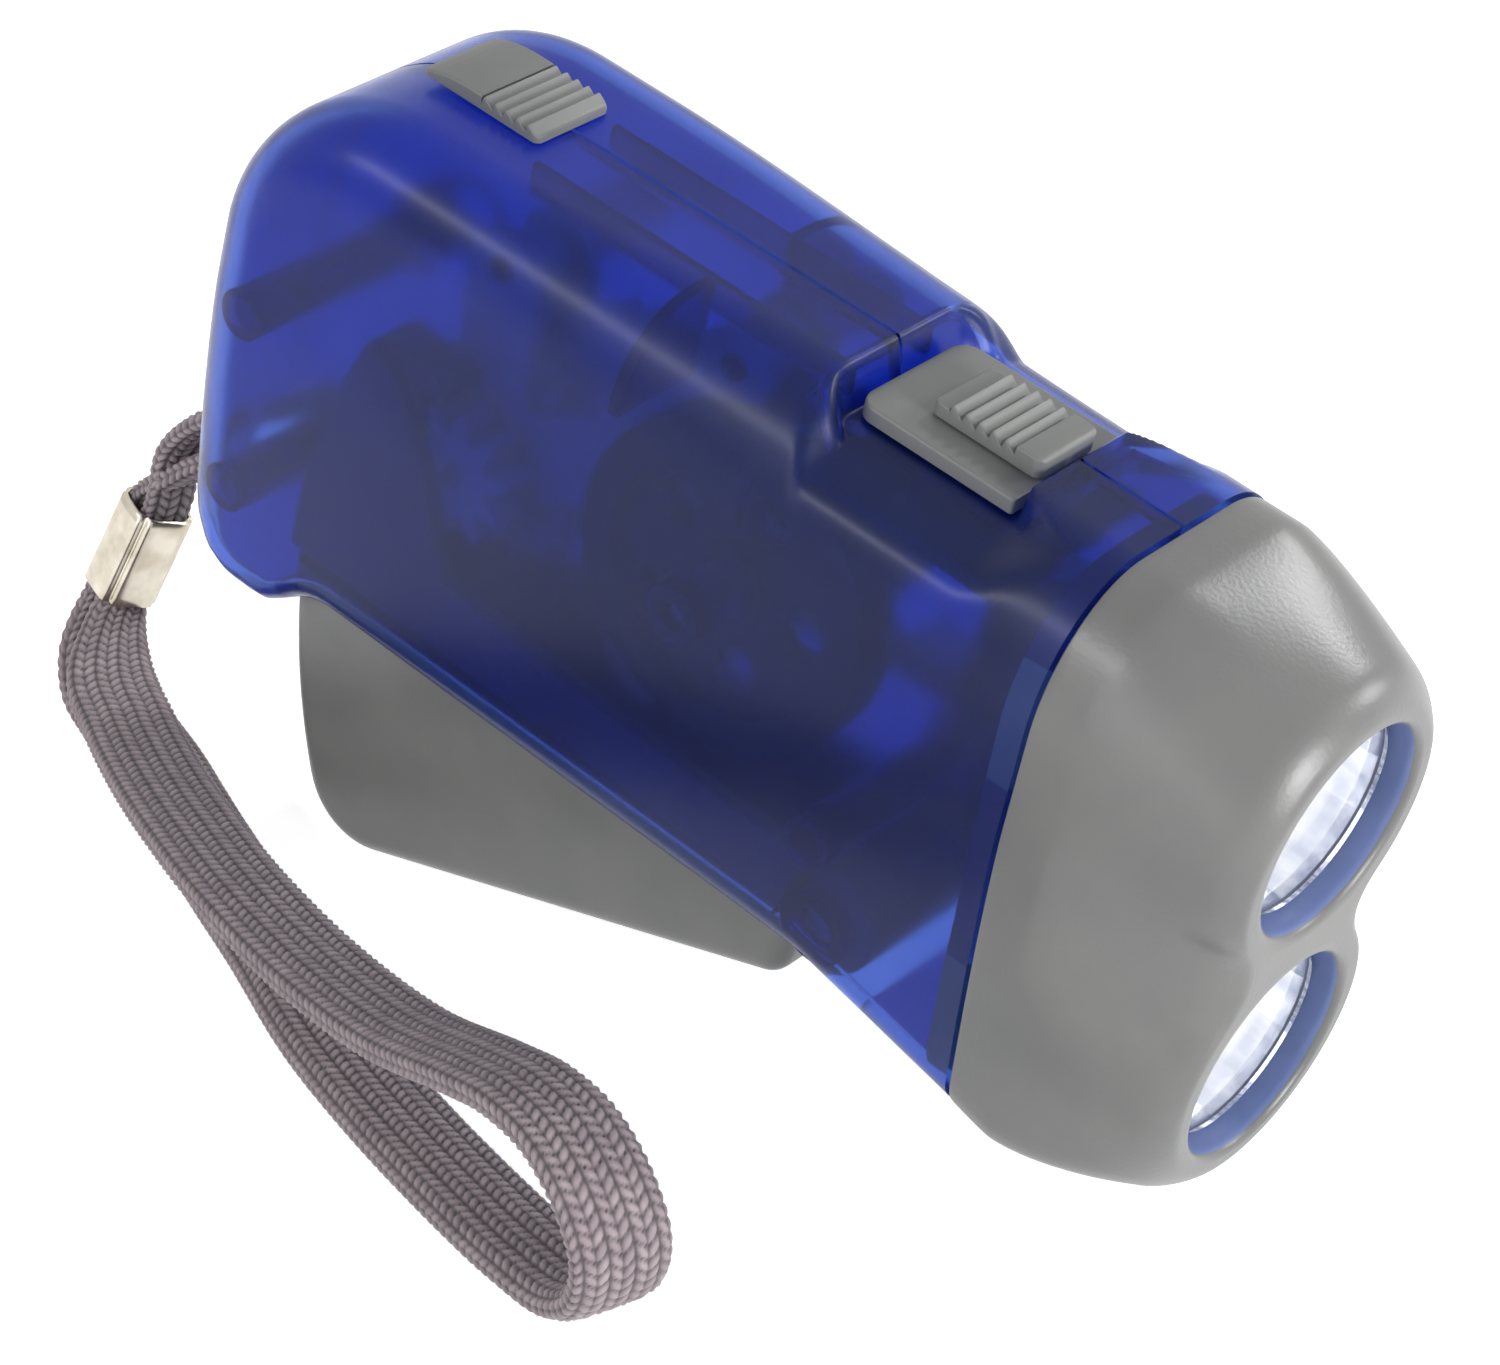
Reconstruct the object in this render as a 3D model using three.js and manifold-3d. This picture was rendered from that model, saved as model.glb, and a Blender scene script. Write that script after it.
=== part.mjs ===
// Squeeze-powered torch with two lenses, in millimetres.
// The body is modelled level: x runs along the beam, y to the holder's left, z up, and zero is
// where the top of the case meets the head. Angles in the side view turn from x towards z.
// The last lines stand the torch on its trigger and the lower lip of its head, with its strap.
import * as THREE from 'three';
import Module from 'manifold-3d';
import { mergeVertices } from 'three/addons/utils/BufferGeometryUtils.js';

const wasm = await Module();
wasm.setup();

// Gaps and cuts
const gap = 0.3;
const seamGap = 0.3;
const overrun = 8;

// Case: two halves that meet on y = 0
const caseLength = 86.4;
const caseHeight = 51.5;
const caseHalfWidth = 14.8;
const caseFrontHalfWidth = 14.7;
const wall = 1.6;
const shoulderDrop = 7.2;
const shoulderInset = 6.8;
const neckDrop = 12;
const neckInset = 9.4;
const neckStart = 60;
const neckEnd = 18;
const rearRounding = 6;
const bottomRounding = 3;
const taperStart = 21;
const taperShare = 0.225;
const taperPower = 1.4;
const runStep = 12;
const spineShares = [0.81, 0.06];
const sideShares = [0.28, 0.55];
const hubShare = 0.76;

// Side view of the case: x over its length, z over its height, corner radius over its height
const caseCornerShares = [
  [0.15, 0, 0],
  [-0.1, 0.004, 0.1],
  [-0.33, 0.017, 0.2],
  [-0.968, 0.009, 0.33],
  [-1, -0.99, 0.145],
  [-0.878, -0.99, 0.1],
  [-0.812, -0.905, 0.16],
  [-0.2, -0.918, 0.2],
  [0, -1, 0.16],
  [0.15, -1.04, 0],
];

// Recess for the switch, at the front of the top
const recessRear = 28.1;
const recessFloorRear = 25.9;
const recessFloorFront = 10.3;
const recessFront = 9;
const recessDepth = 2.7;
const recessFloor = 1.7;
const switchPlateThick = 1.3;
const switchPlateLength = 15;
const switchPlateHalfWidth = 6.5;
const switchPlateCorner = 1.6;
const knobLength = 10.4;
const knobWidth = 7;
const knobHeight = 1.6;
const knobCorner = 1;
const knobFrontMargin = 0.5;
const knobTravel = 3;
const knobRibs = 5;
const ribPitch = 1.25;
const ribHeight = 0.5;
const ribStartShare = 0.4;
const stemLength = 3.2;
const stemWidth = 2.2;

// Lock button, at the rear of the top
const lockRear = 72.8;
const lockLength = 12.3;
const lockHalfWidth = 4.15;
const lockHeight = 1.2;
const lockTravel = 4;
const lockRibs = 5;
const lockRibPitch = 1.15;
const lockRibHeight = 0.45;
const domeShares = [[0.06, 0.45], [0.18, 0.8], [0.36, 1]];
const lockStemLength = 4;
const lockStemWidth = 2.6;
const latchPlateThick = 1;
const latchDrop = 0.9;
const latchReach = 8.4;
const latchArm = 1.6;
const latchTooth = 1.6;
const latchToothHeight = 1.6;
const notchAngle = 38;
const notchHalfAngle = 2.4;
const notchDepthShare = 1.3;

// Trigger and its pivot
const pivot = [-15, -43];
const triggerSwing = 20;
const triggerRadius = 58.5;
const triggerHalfWidth = 10;
const triggerWall = 1.4;
const undersideFront = [-18.7, -52.4];
const undersideTilt = 21.7;
const undersideCorner = 2.5;
const rearCorner = 6.5;
const wallTopBelowPivot = 1.5;
const triggerEdge = 1.9;
const triggerInside = triggerHalfWidth - triggerWall;
const rearArcShare = 0.24;
const hubRadius = 4.6;
const pinRadius = 1.5;
const pinClearance = 0.25;
const pinBossRadius = 3.2;
const sectorTopAngle = 23;
const sectorBottomAngle = -9;
const nearWallShares = [[0.93, 22.6], [0.82, 16.6], [0.735, 8.2], [0.5, 9.5], [0.08, 60]];

// Return spring round the trigger pin
const springWire = 0.9;
const springRadius = 3.1;
const springTurns = 4;
const springPitch = 1.4;
const springLeg = 15;
const springLegAngle = 12;
const springDoorShare = 2.2;

// Gear train
const pressureAngle = THREE.MathUtils.degToRad(25);
const sectorModule = 1;
const sectorTeeth = 104;
const inputTeeth = 10;
const inputAngle = 18;
const driveModule = 0.8;
const driveTeeth = 22;
const secondPinionTeeth = 12;
const flyModule = 0.9;
const secondTeeth = 24;
const flyPinionTeeth = 10;
const toothThinning = 0.16;
const tipShare = 0.9;
const rootShare = 1.25;
const flywheelAxis = [-32.5, -22.5];
const flywheelRadius = 14;
const flywheelThick = 3.8;
const flywheelRim = 3;
const flywheelWeb = 1.6;
const webHoles = 5;
const hubTube = 2.2;
const axleRadius = 0.8;
const axleClearance = 0.25;
const gearThick = 2.2;
const gearRim = 1.6;
const gearWeb = 1.3;
const plateThick = 1.2;
const layerGap = 0.4;
const plateLug = 3.6;
const pillarRadius = 2.4;
const pillarBore = 1.3;
const pegRadius = 1;
const pillarSpots = [[-62, -12], [-38.5, -7.4]];
const lowerPillar = [-41, -37.4];
const ratchetRadius = 6.2;
const ratchetDepth = 1.1;
const ratchetTeeth = 12;
const ratchetStep = 0.8;
const pawlThick = 0.8;
const pawlRadius = 5;
const pawlHub = 2.6;
const axleBossRadius = 2.6;

// Generator
const magnetRadius = 7.5;
const magnetBore = 2.5;
const magnetThick = 5.4;
const airGap = 0.6;
const poleThick = 2.6;
const poleHalfAngle = 58;
const coreThick = 4.4;
const coreLeg = 3.6;
const coreLegX = -13.2;
const coreArm = 5.9;
const bobbinTube = 3.9;
const bobbinFlange = 5.1;
const bobbinFlangeThick = 0.8;
const bobbinLength = 11.2;
const wireRadius = 0.24;
const wireLoops = 9;
const wireLoopSteps = 16;
const wireSides = 5;

// Electrics
const boardThick = 1.2;
const boardRear = 27;
const boardFront = 8.6;
const boardHalfWidth = 9;
const boardDrop = 7;
const switchBodyLength = 10;
const switchBodyHalfWidth = 3;
const switchBodyHeight = 2.2;
const ledgeThick = 1.3;
const cellRadius = 8;
const cellThick = 3.2;
const cellX = -3;
const cellZ = -24;
const holderWall = 1.4;
const holderFloor = 1.6;
const contactThick = 0.5;
const contactWidth = 5;
const contactOverlap = 2.6;

// Screws and posts
const postRadius = 2.2;
const postBore = 1.45;
const wellRadius = 2.8;
const wellPost = 3.4;
const wellFloor = 8;
const screwHeadRadius = 2.4;
const screwHeadThick = 1.6;
const screwShank = 1.2;
const screwDepth = 8;
const screwSpots = {
  screw_rear_upper: [-79, -22], screw_rear_lower: [-79.8, -40.5], screw_front: [-16.8, -34.9],
};
const wallRibX = 42;
const wallRibThick = 1;
const wallRibDepth = 9;
const wallRibInner = 5;
const wallRibOuter = 13;

// Head
const headLength = 19;
const headWall = 2;
const headFrontWall = 4.3;
const lobeRadius = 12.2;
const upperLens = -15.7;
const lowerLens = -38;
const waistFillet = 4;
const rimLength = 2.8;
const rimDrop = 2.2;
const taperStartX = 4;
const taperLength = 14.4;
const taperBend = 1.25;
const headBulge = 1.1;
const spigotLength = 3;
const spigotWall = 1.5;
const headLedge = 2.5;
const apertureRadius = 8.9;
const apertureFlare = 0.6;
const lensThick = 1.2;
const lensCrown = 0.5;
const reflectorDepth = 7.4;
const reflectorWall = 0.8;
const ledRadius = 2.5;
const ledFlange = 2.9;
const ledFlangeThick = 1;
const ledLength = 7.2;

// Strap, ferrule and the loop round the lower rear post
const strapWidth = 8;
const strapThick = 2.6;
const crimpedWidth = 4.3;
const crimpedThick = 1.8;
const loopThick = 1.8;
const loopInside = 0.33;
const loopMouth = -0.12;
const loopSlack = 0.15;
const ferruleLength = 9.4;
const ferruleWidth = 5.9;
const ferruleThick = 5.4;
const ferruleWall = 0.4;
const ferruleCrease = 0.35;
const strandOff = 1.1;
const strapInside = 0.46;
const strapMouth = 1.1;
const strapHole = 9.2;
const strapHoleMiddle = -43.2;
const strapHoleHalfWidth = 3.6;

// The standing tilt is found between these angles
const tiltRange = [5, 25];
const tiltSteps = 30;

// Colours of the materials
const blueCase = { color: 0x1a1fae, roughness: 0.32, metalness: 0, transparent: true, opacity: 0.55 };
const greyPlastic = { color: 0x85877f, roughness: 0.5, metalness: 0 };
const steel = { color: 0xb9bcc0, roughness: 0.3, metalness: 1 };
const nickel = { color: 0xd8d2c0, roughness: 0.25, metalness: 1 };
const clear = { color: 0xf4f8ff, roughness: 0.05, metalness: 0, transparent: true, opacity: 0.35 };
const chrome = { color: 0xe6e8ea, roughness: 0.08, metalness: 1 };
const diode = { color: 0xffffff, roughness: 0.1, metalness: 0, emissive: 0xffffff };
const greenBoard = { color: 0x2f6b3a, roughness: 0.5, metalness: 0 };
const whiteGear = { color: 0xe4e2d6, roughness: 0.45, metalness: 0 };
const darkPlastic = { color: 0x23242a, roughness: 0.5, metalness: 0 };
const brass = { color: 0xb08d4a, roughness: 0.3, metalness: 1 };
const magnet = { color: 0x3c3c40, roughness: 0.4, metalness: 0.6 };
const copper = { color: 0xb5652b, roughness: 0.3, metalness: 1 };
const braid = { color: 0x8f8690, roughness: 0.9, metalness: 0 };

const axisX = new THREE.Vector3(1, 0, 0);
const axisY = new THREE.Vector3(0, 1, 0);
const axisZ = new THREE.Vector3(0, 0, 1);
const radians = THREE.MathUtils.degToRad;
const mix = THREE.MathUtils.lerp;
const smooth = THREE.MathUtils.smoothstep;

// Solids: closed meshes that can be joined and cut

// A closed geometry as a solid, with its faces turned outwards.
function solid(geometry) {
  geometry.deleteAttribute('normal');
  geometry.deleteAttribute('uv');
  const merged = mergeVertices(geometry, gap / 1000);
  const place = merged.getAttribute('position').array;
  const corners = [];
  for (let i = 0; i < merged.index.count; i += 3) {
    const [a, b, c] = merged.index.array.slice(i, i + 3);
    if (a !== b && b !== c && c !== a) corners.push(a, b, c);
  }
  if (volumeOf(place, corners) < 0) corners.reverse();
  const mesh = {
    numProp: 3, vertProperties: new Float32Array(place), triVerts: new Uint32Array(corners),
  };
  return new wasm.Manifold(new wasm.Mesh(mesh));
}

function volumeOf(place, corners) {
  const point = (k) => new THREE.Vector3().fromArray(place, corners[k] * 3);
  let total = 0;
  for (let i = 0; i < corners.length; i += 3) total += point(i).dot(point(i + 1).cross(point(i + 2)));
  return total;
}

function geometryOf(body) {
  const mesh = body.getMesh();
  const geometry = new THREE.BufferGeometry();
  geometry.setAttribute(
    'position', new THREE.BufferAttribute(new Float32Array(mesh.vertProperties), 3),
  );
  geometry.setIndex(new THREE.BufferAttribute(new Uint32Array(mesh.triVerts), 1));
  geometry.computeVertexNormals();
  return geometry;
}

const join = (...bodies) => bodies.reduce((sum, body) => sum.add(body));
const cut = (body, ...tools) => tools.reduce((rest, tool) => rest.subtract(tool), body);
const common = (body, other) => body.intersect(other);

// The same solid on the other side of the seam.
function mirrored(body) {
  return solid(geometryOf(body).scale(1, -1, 1));
}

// Outlines are lists of [across, up] points.

function circle([across, up], radius, sides) {
  const turn = (k) => polar([across, up], radius, (360 * (k + 0.5)) / sides);
  return Array.from({ length: sides }, (_, k) => turn(k));
}

function polar([across, up], radius, degrees) {
  return [across + radius * Math.cos(radians(degrees)), up + radius * Math.sin(radians(degrees))];
}

function arc(centre, radius, from, to, steps) {
  return Array.from({ length: steps + 1 }, (_, k) => polar(centre, radius, mix(from, to, k / steps)));
}

function rectangle(left, bottom, right, top) {
  return [[left, bottom], [right, bottom], [right, top], [left, top]];
}

// A polygon of [across, up, radius] corners with round corners and runs of points no longer than step.
function rounded(corners, cornerSteps, step = Infinity, open = false) {
  const points = [];
  corners.forEach(([across, up, radius], i) => {
    const here = new THREE.Vector2(across, up);
    const before = new THREE.Vector2(...corners.at(i - 1)).sub(here).normalize();
    const after = new THREE.Vector2(...corners[(i + 1) % corners.length]).sub(here).normalize();
    const half = before.angleTo(after) / 2;
    const middle = before.clone().add(after).normalize().multiplyScalar(radius / Math.sin(half)).add(here);
    const start = before.clone().multiplyScalar(radius / Math.tan(half)).add(here);
    const end = after.clone().multiplyScalar(radius / Math.tan(half)).add(here);
    addRun(points, start, step);
    if (radius > 0) points.push(...cornerArc(middle, start, end, cornerSteps));
  });
  if (open) return points;
  addRun(points, new THREE.Vector2(...points[0]), step);
  points.pop();
  return points;
}

function addRun(points, end, step) {
  const last = points.length > 0 ? new THREE.Vector2(...points.at(-1)) : end;
  const pieces = Math.max(1, Math.ceil(last.distanceTo(end) / step));
  for (let k = points.length > 0 ? 1 : pieces; k <= pieces; k += 1) {
    points.push(last.clone().lerp(end, k / pieces).toArray());
  }
}

function cornerArc(middle, start, end, steps) {
  const from = start.clone().sub(middle);
  const to = end.clone().sub(middle);
  const sweep = Math.atan2(from.cross(to), from.dot(to));
  const turned = (k) => from.clone().rotateAround(new THREE.Vector2(), (sweep * k) / steps).add(middle);
  return Array.from({ length: steps }, (_, k) => turned(k + 1).toArray());
}

// An outline drawn out along an axis. Along x it is a front view, along y a side view, along z a plan.
function along(axis, outline, low, high, holes = []) {
  const shape = new THREE.Shape(cleaned(outline).map((point) => new THREE.Vector2(...point)));
  shape.holes = holes.map((hole) => new THREE.Path(hole.map((point) => new THREE.Vector2(...point))));
  const geometry = new THREE.ExtrudeGeometry(shape, { depth: high - low, bevelEnabled: false });
  const turned = {
    x: new THREE.Matrix4().makeBasis(axisY, axisZ, axisX).setPosition(low, 0, 0),
    y: new THREE.Matrix4().makeBasis(axisX, axisZ, axisY.clone().negate()).setPosition(0, high, 0),
    z: new THREE.Matrix4().setPosition(0, 0, low),
  };
  return solid(geometry.applyMatrix4(turned[axis]));
}

function rod(axis, centre, radius, low, high, sides = 12) {
  return along(axis, circle(centre, radius, sides), low, high);
}

function block(low, high) {
  return along('y', rectangle(low[0], low[2], high[0], high[2]), low[1], high[1]);
}

// A profile of [radius, along] points turned round the line through centre, parallel to x or y.
function turned(axis, centre, profile, sides) {
  const geometry = new THREE.LatheGeometry(profile.map((point) => new THREE.Vector2(...point)), sides);
  if (axis === 'x') geometry.rotateZ(-Math.PI / 2).translate(0, centre[0], centre[1]);
  if (axis === 'y') geometry.translate(centre[0], 0, centre[1]);
  return solid(geometry);
}

// Rings of equally many points joined into a closed solid, with a fan of triangles on each end
// round the point that hub gives for the ring.
function loft(rings, hub = meanPoint) {
  const count = rings[0].length;
  const index = [];
  for (let k = 0; k + 1 < rings.length; k += 1) {
    for (let i = 0; i < count; i += 1) {
      const [a, b] = [k * count + i, k * count + ((i + 1) % count)];
      index.push(a, b, a + count, b, b + count, a + count);
    }
  }
  const [last, first] = [(rings.length - 1) * count, rings.length * count];
  const end = first + 1;
  for (let i = 0; i < count; i += 1) {
    const next = (i + 1) % count;
    index.push(first, next, i, end, last + i, last + next);
  }
  const geometry = new THREE.BufferGeometry().setFromPoints([
    ...rings.flat(), hub(rings[0]), hub(rings.at(-1)),
  ]);
  geometry.setIndex(index);
  return solid(geometry);
}

function meanPoint(ring) {
  const sum = ring.reduce((total, point) => total.add(point), new THREE.Vector3());
  return sum.divideScalar(ring.length);
}

// An outline without repeated points and without points in the middle of straight runs.
function cleaned(outline) {
  const fromLast = ([across, up], i) => Math.hypot(across - outline.at(i - 1)[0], up - outline.at(i - 1)[1]);
  const apart = outline.filter((point, i) => fromLast(point, i) > gap / 300);
  return apart.filter(([across, up], i) => {
    const [before, after] = [apart.at(i - 1), apart[(i + 1) % apart.length]];
    const turn = (across - before[0]) * (after[1] - up) - (up - before[1]) * (after[0] - across);
    return Math.abs(turn) > (gap / 300) ** 2;
  });
}

// Shape of the case

// Half of the width of the case at a place in the side view.
function halfWidth(x, z) {
  const widest = mix(caseFrontHalfWidth, caseHalfWidth, smooth(-x, 0, neckStart));
  const low = Math.max(0, (-z - taperStart) / (caseHeight - taperStart));
  return widest * (1 - taperShare * low ** taperPower);
}

// How far the edge at an outline point with outward normal rounds inwards and sideways.
function edgeRounding(x, normal) {
  const neck = 1 - smooth(-x, neckEnd, neckStart);
  const top = normal.y > 0 ? normal.y ** 2 : 0;
  const bottom = normal.y < 0 ? normal.y ** 2 : 0;
  const rear = normal.x < 0 ? normal.x ** 2 : 0;
  const below = bottom * bottomRounding + rear * rearRounding;
  return [top * mix(shoulderDrop, neckDrop, neck) + below, top * mix(shoulderInset, neckInset, neck) + below];
}

// The outline of the case in the side view.
function caseOutline() {
  const corners = caseCornerShares.map(([x, z, r]) => [x * caseLength, z * caseHeight, r * caseHeight]);
  return rounded(corners, 4, runStep, true);
}

function outlineNormals(outline) {
  const way = Math.sign(THREE.ShapeUtils.area(outline.map((point) => new THREE.Vector2(...point))));
  return outline.map((_, i) => {
    const [before, after] = [outline[Math.max(i - 1, 0)], outline[Math.min(i + 1, outline.length - 1)]];
    return new THREE.Vector2(way * (after[1] - before[1]), way * (before[0] - after[0])).normalize();
  });
}

// Half of the case as a full solid, shrunk by inset, from the plane y = start to its side.
function halfBody(inset, start) {
  const outline = caseOutline();
  const normals = outlineNormals(outline);
  const roundingSteps = 3;
  const place = (i, theta) => {
    const [x, z] = outline[i];
    const [drop, sideways] = edgeRounding(x, normals[i]).map((size) => Math.max(size - inset, wall / 2));
    const depth = inset + drop * (1 - Math.cos(theta));
    const [px, pz] = [x - normals[i].x * depth, z - normals[i].y * depth];
    return new THREE.Vector3(px, halfWidth(px, pz) - inset - sideways * (1 - Math.sin(theta)), pz);
  };
  const rings = [outline.map((_, i) => place(i, 0).setY(start))];
  for (let k = 0; k <= roundingSteps; k += 1) {
    rings.push(outline.map((_, i) => place(i, (Math.PI / 2) * (k / roundingSteps))));
  }
  sideShares.forEach((share) => rings.push(rings[roundingSteps + 1].map((point) => {
    const [rear, front] = spineShares.map((spine) => -spine * caseLength);
    const spineX = THREE.MathUtils.clamp(point.x, rear, front);
    const [x, z] = [mix(point.x, spineX, share), mix(point.z, -caseHeight / 2, share)];
    return new THREE.Vector3(x, halfWidth(x, z) - inset, z);
  })));
  return loft(rings, (ring) => new THREE.Vector3(-hubShare * caseLength, ring[0].y, -caseHeight / 2));
}

// Both halves of the case as one full solid, shrunk by inset.
function wholeBody(inset) {
  const half = halfBody(inset, -gap);
  return join(half, mirrored(half));
}

// Half of the case's width at a height on the joint with the head, with its rounded edges.
function sectionHalfWidth(z) {
  const top = Math.min(1, Math.max(0, -z / neckDrop));
  const bottom = Math.min(1, Math.max(0, (caseHeight + z) / bottomRounding));
  const away = (share, inset) => inset * (1 - Math.sqrt(1 - (1 - share) ** 2));
  return halfWidth(0, z) - away(top, neckInset) - away(bottom, bottomRounding);
}

// Where the pieces of the mechanism lie across the torch, from the near side to the far side
const level = {};
level.flywheelNear = -(triggerHalfWidth - triggerWall) + layerGap;
level.flywheelFar = level.flywheelNear + flywheelThick;
level.nearPlate = level.flywheelFar + 2 * gap;
level.nearPlateFar = level.nearPlate + plateThick;
level.drive = level.nearPlateFar + layerGap;
level.driveFar = level.drive + gearThick;
level.second = level.driveFar + layerGap;
level.secondFar = level.second + gearThick;
level.farPlate = level.secondFar + layerGap;
level.farPlateFar = level.farPlate + plateThick;
level.magnet = level.farPlateFar + layerGap;
level.magnetFar = level.magnet + magnetThick;
level.core = level.magnet + (magnetThick - coreThick) / 2;
level.coreFar = level.core + coreThick;

// Axes of the gear train
const sectorRadius = (sectorTeeth * sectorModule) / 2;
const inputRadius = (inputTeeth * sectorModule) / 2;
const inputAxis = polar(pivot, sectorRadius - inputRadius, 180 - inputAngle);
const firstReach = ((driveTeeth + secondPinionTeeth) * driveModule) / 2;
const secondReach = ((secondTeeth + flyPinionTeeth) * flyModule) / 2;
const secondAxis = meeting(inputAxis, firstReach, flywheelAxis, secondReach);

// The upper of the two points that lie at the given distances from two centres.
function meeting([ax, az], fromA, [bx, bz], fromB) {
  const apart = Math.hypot(bx - ax, bz - az);
  const share = (fromA ** 2 - fromB ** 2 + apart ** 2) / (2 * apart);
  const rise = Math.sqrt(fromA ** 2 - share ** 2);
  const [ux, uz] = [(bx - ax) / apart, (bz - az) / apart];
  return [ax + share * ux - rise * uz, az + share * uz + rise * ux];
}

const direction = ([ax, az], [bx, bz]) => THREE.MathUtils.radToDeg(Math.atan2(bz - az, bx - ax));

// Gears

// The outline of a gear round centre with one tooth pointing along phase, in degrees.
function gearOutline(
  centre, teeth, module, phase, { thinning = toothThinning, first = 0, last = teeth } = {},
) {
  const pitch = (teeth * module) / 2;
  const base = pitch * Math.cos(pressureAngle);
  const [tip, root] = [pitch + tipShare * module, pitch - rootShare * module];
  const involute = (radius) => {
    const angle = Math.acos(Math.min(1, base / radius));
    return Math.tan(angle) - angle;
  };
  const halfTooth = Math.PI / 2 / teeth - thinning / 2 / pitch + involute(pitch);
  const levels = [root, Math.max(mix(root, pitch, 0.5), base), tip];
  const flank = levels.map((radius) => [
    radius, THREE.MathUtils.radToDeg(halfTooth - involute(radius)),
  ]);
  const points = [];
  for (let k = first; k < last; k += 1) {
    const middle = phase + (360 * k) / teeth;
    flank.forEach(([radius, away]) => points.push(polar(centre, radius, middle - away)));
    [...flank].reverse().forEach(([radius, away]) => points.push(polar(centre, radius, middle + away)));
  }
  return points;
}

const pitchDegrees = (teeth) => 360 / teeth;

// Phases that put the gears in mesh at rest: a tooth of one points into a gap of the next.
const inputPhase = direction(pivot, inputAxis);
const drivePhase = direction(inputAxis, secondAxis);
const secondPinionPhase = direction(secondAxis, inputAxis) + pitchDegrees(secondPinionTeeth) / 2;
const secondPhase = direction(secondAxis, flywheelAxis);
const flyPinionPhase = direction(flywheelAxis, secondAxis) + pitchDegrees(flyPinionTeeth) / 2;

// Case halves

// A boss on the inside of a half, from the plane y = face outwards.
const boss = (spot, radius, face) => rod('y', spot, radius, face, caseHalfWidth);

// What both halves share, drawn on the far side: shell, ribs, ledges, switch floor and pin boss.
function plainHalf(outer) {
  const shell = cut(outer, halfBody(wall, -overrun));
  const switchFloor = block(
    [-recessRear - wall, 0, -recessDepth - recessFloor], [-recessFront + wall, caseHalfWidth, 0],
  );
  const rib = block(
    [-wallRibX, wallRibInner, -wallRibDepth], [-wallRibX + wallRibThick, wallRibOuter, 0],
  );
  const ledgeTop = -boardDrop - boardThick - gap;
  const ledge = block(
    [-boardRear + wall, boardHalfWidth - wall, ledgeTop - ledgeThick],
    [-boardFront - wall, caseHalfWidth, ledgeTop],
  );
  const pinBoss = boss(pivot, pinBossRadius, triggerHalfWidth + gap);
  return join(shell, common(join(switchFloor, rib, ledge, pinBoss), outer));
}

// The openings of the case, cut from both halves.
function caseCuts() {
  const recess = [
    [-recessRear, caseHeight], [-recessRear, recessDepth / 2], [-recessFloorRear, -recessDepth],
    [-recessFloorFront, -recessDepth], [-recessFront, recessDepth / 2], [-recessFront, caseHeight],
  ];
  const frontEnd = block([-seamGap, -caseLength, -2 * caseHeight], [caseLength, caseLength, caseHeight]);
  const pinHole = rod('y', pivot, pinRadius + pinClearance, -pinEnd(), pinEnd());
  return [
    along('y', recess, -caseLength, caseLength), frontEnd, triggerSlot(), switchSlot(), lockSlot(),
    strapSlot(), pinHole,
  ];
}

// The space that the trigger sweeps.
function triggerSlot() {
  const side = triggerHalfWidth + gap;
  const front = pivot[0] + hubRadius + layerGap;
  return common(
    rod('y', pivot, triggerRadius + layerGap, -side, side, 80),
    block([-caseLength, -side, -2 * caseHeight], [front, side, pivot[1] - wallTopBelowPivot]),
  );
}

function switchSlot() {
  const middle = -recessFloorFront - knobFrontMargin - knobLength / 2;
  const side = stemWidth / 2 + gap;
  return block(
    [middle - stemLength / 2 - knobTravel - gap, -side, -caseHeight / 2],
    [middle + stemLength / 2 + gap, side, caseHeight],
  );
}

function lockSlot() {
  const middle = -lockRear + lockLength / 2;
  const side = lockStemWidth / 2 + gap;
  return block(
    [middle - lockStemLength / 2 - gap, -side, -caseHeight / 4],
    [middle + lockStemLength / 2 + lockTravel + gap, side, caseHeight],
  );
}

function strapSlot() {
  const front = screwSpots.screw_rear_lower[0] - postRadius;
  return block(
    [-2 * caseLength, -strapHoleHalfWidth, strapHoleMiddle - strapHole / 2],
    [front, strapHoleHalfWidth, strapHoleMiddle + strapHole / 2],
  );
}

const pinEnd = () => halfWidth(...pivot) - wall - gap;

function farHalf() {
  const outer = halfBody(0, seamGap / 2);
  const posts = Object.values(screwSpots).map((spot) => join(
    boss(spot, wellPost, wellFloor - wall),
    rod('y', spot, postRadius, seamGap / 2, wellFloor),
  ));
  const pegs = pillarSpots.map((spot) => join(
    boss(spot, pillarRadius, level.farPlateFar + gap),
    rod('y', spot, pegRadius, level.nearPlate, caseHalfWidth / 2),
  ));
  const coreRests = corePegs().map((spot) => boss(spot, pegRadius, level.coreFar + gap));
  const axleBoss = boss(flywheelAxis, axleBossRadius, level.magnetFar + gap);
  const wells = Object.values(screwSpots).map((spot) => join(
    rod('y', spot, wellRadius, wellFloor, 2 * caseHalfWidth),
    rod('y', spot, postBore, 0, wellFloor + wall),
  ));
  const body = join(
    plainHalf(outer), common(join(...posts, ...coreRests, axleBoss), outer),
    ...pegs.map((peg) => common(peg, wide(outer))),
  );
  return cut(body, ...caseCuts(), ...wells, axleHole());
}

// The case's outer solid with the space on the other side of the seam, for what reaches across.
function wide(outer) {
  return join(outer, block([-caseLength, -caseHalfWidth, -caseHeight], [0, seamGap, -wall]));
}

const axleHole = () => rod('y', flywheelAxis, axleRadius + axleClearance, -axleEnd(), axleEnd());
const axleEnd = () => halfWidth(...flywheelAxis) - wall;

// Two places on the core, over its arms, where the case holds it.
function corePegs() {
  const armX = mix(flywheelAxis[0], coreLegX, 0.62);
  const armZ = coreArm + poleThick / 2;
  return [[armX, flywheelAxis[1] + armZ], [armX, flywheelAxis[1] - armZ]];
}

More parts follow.
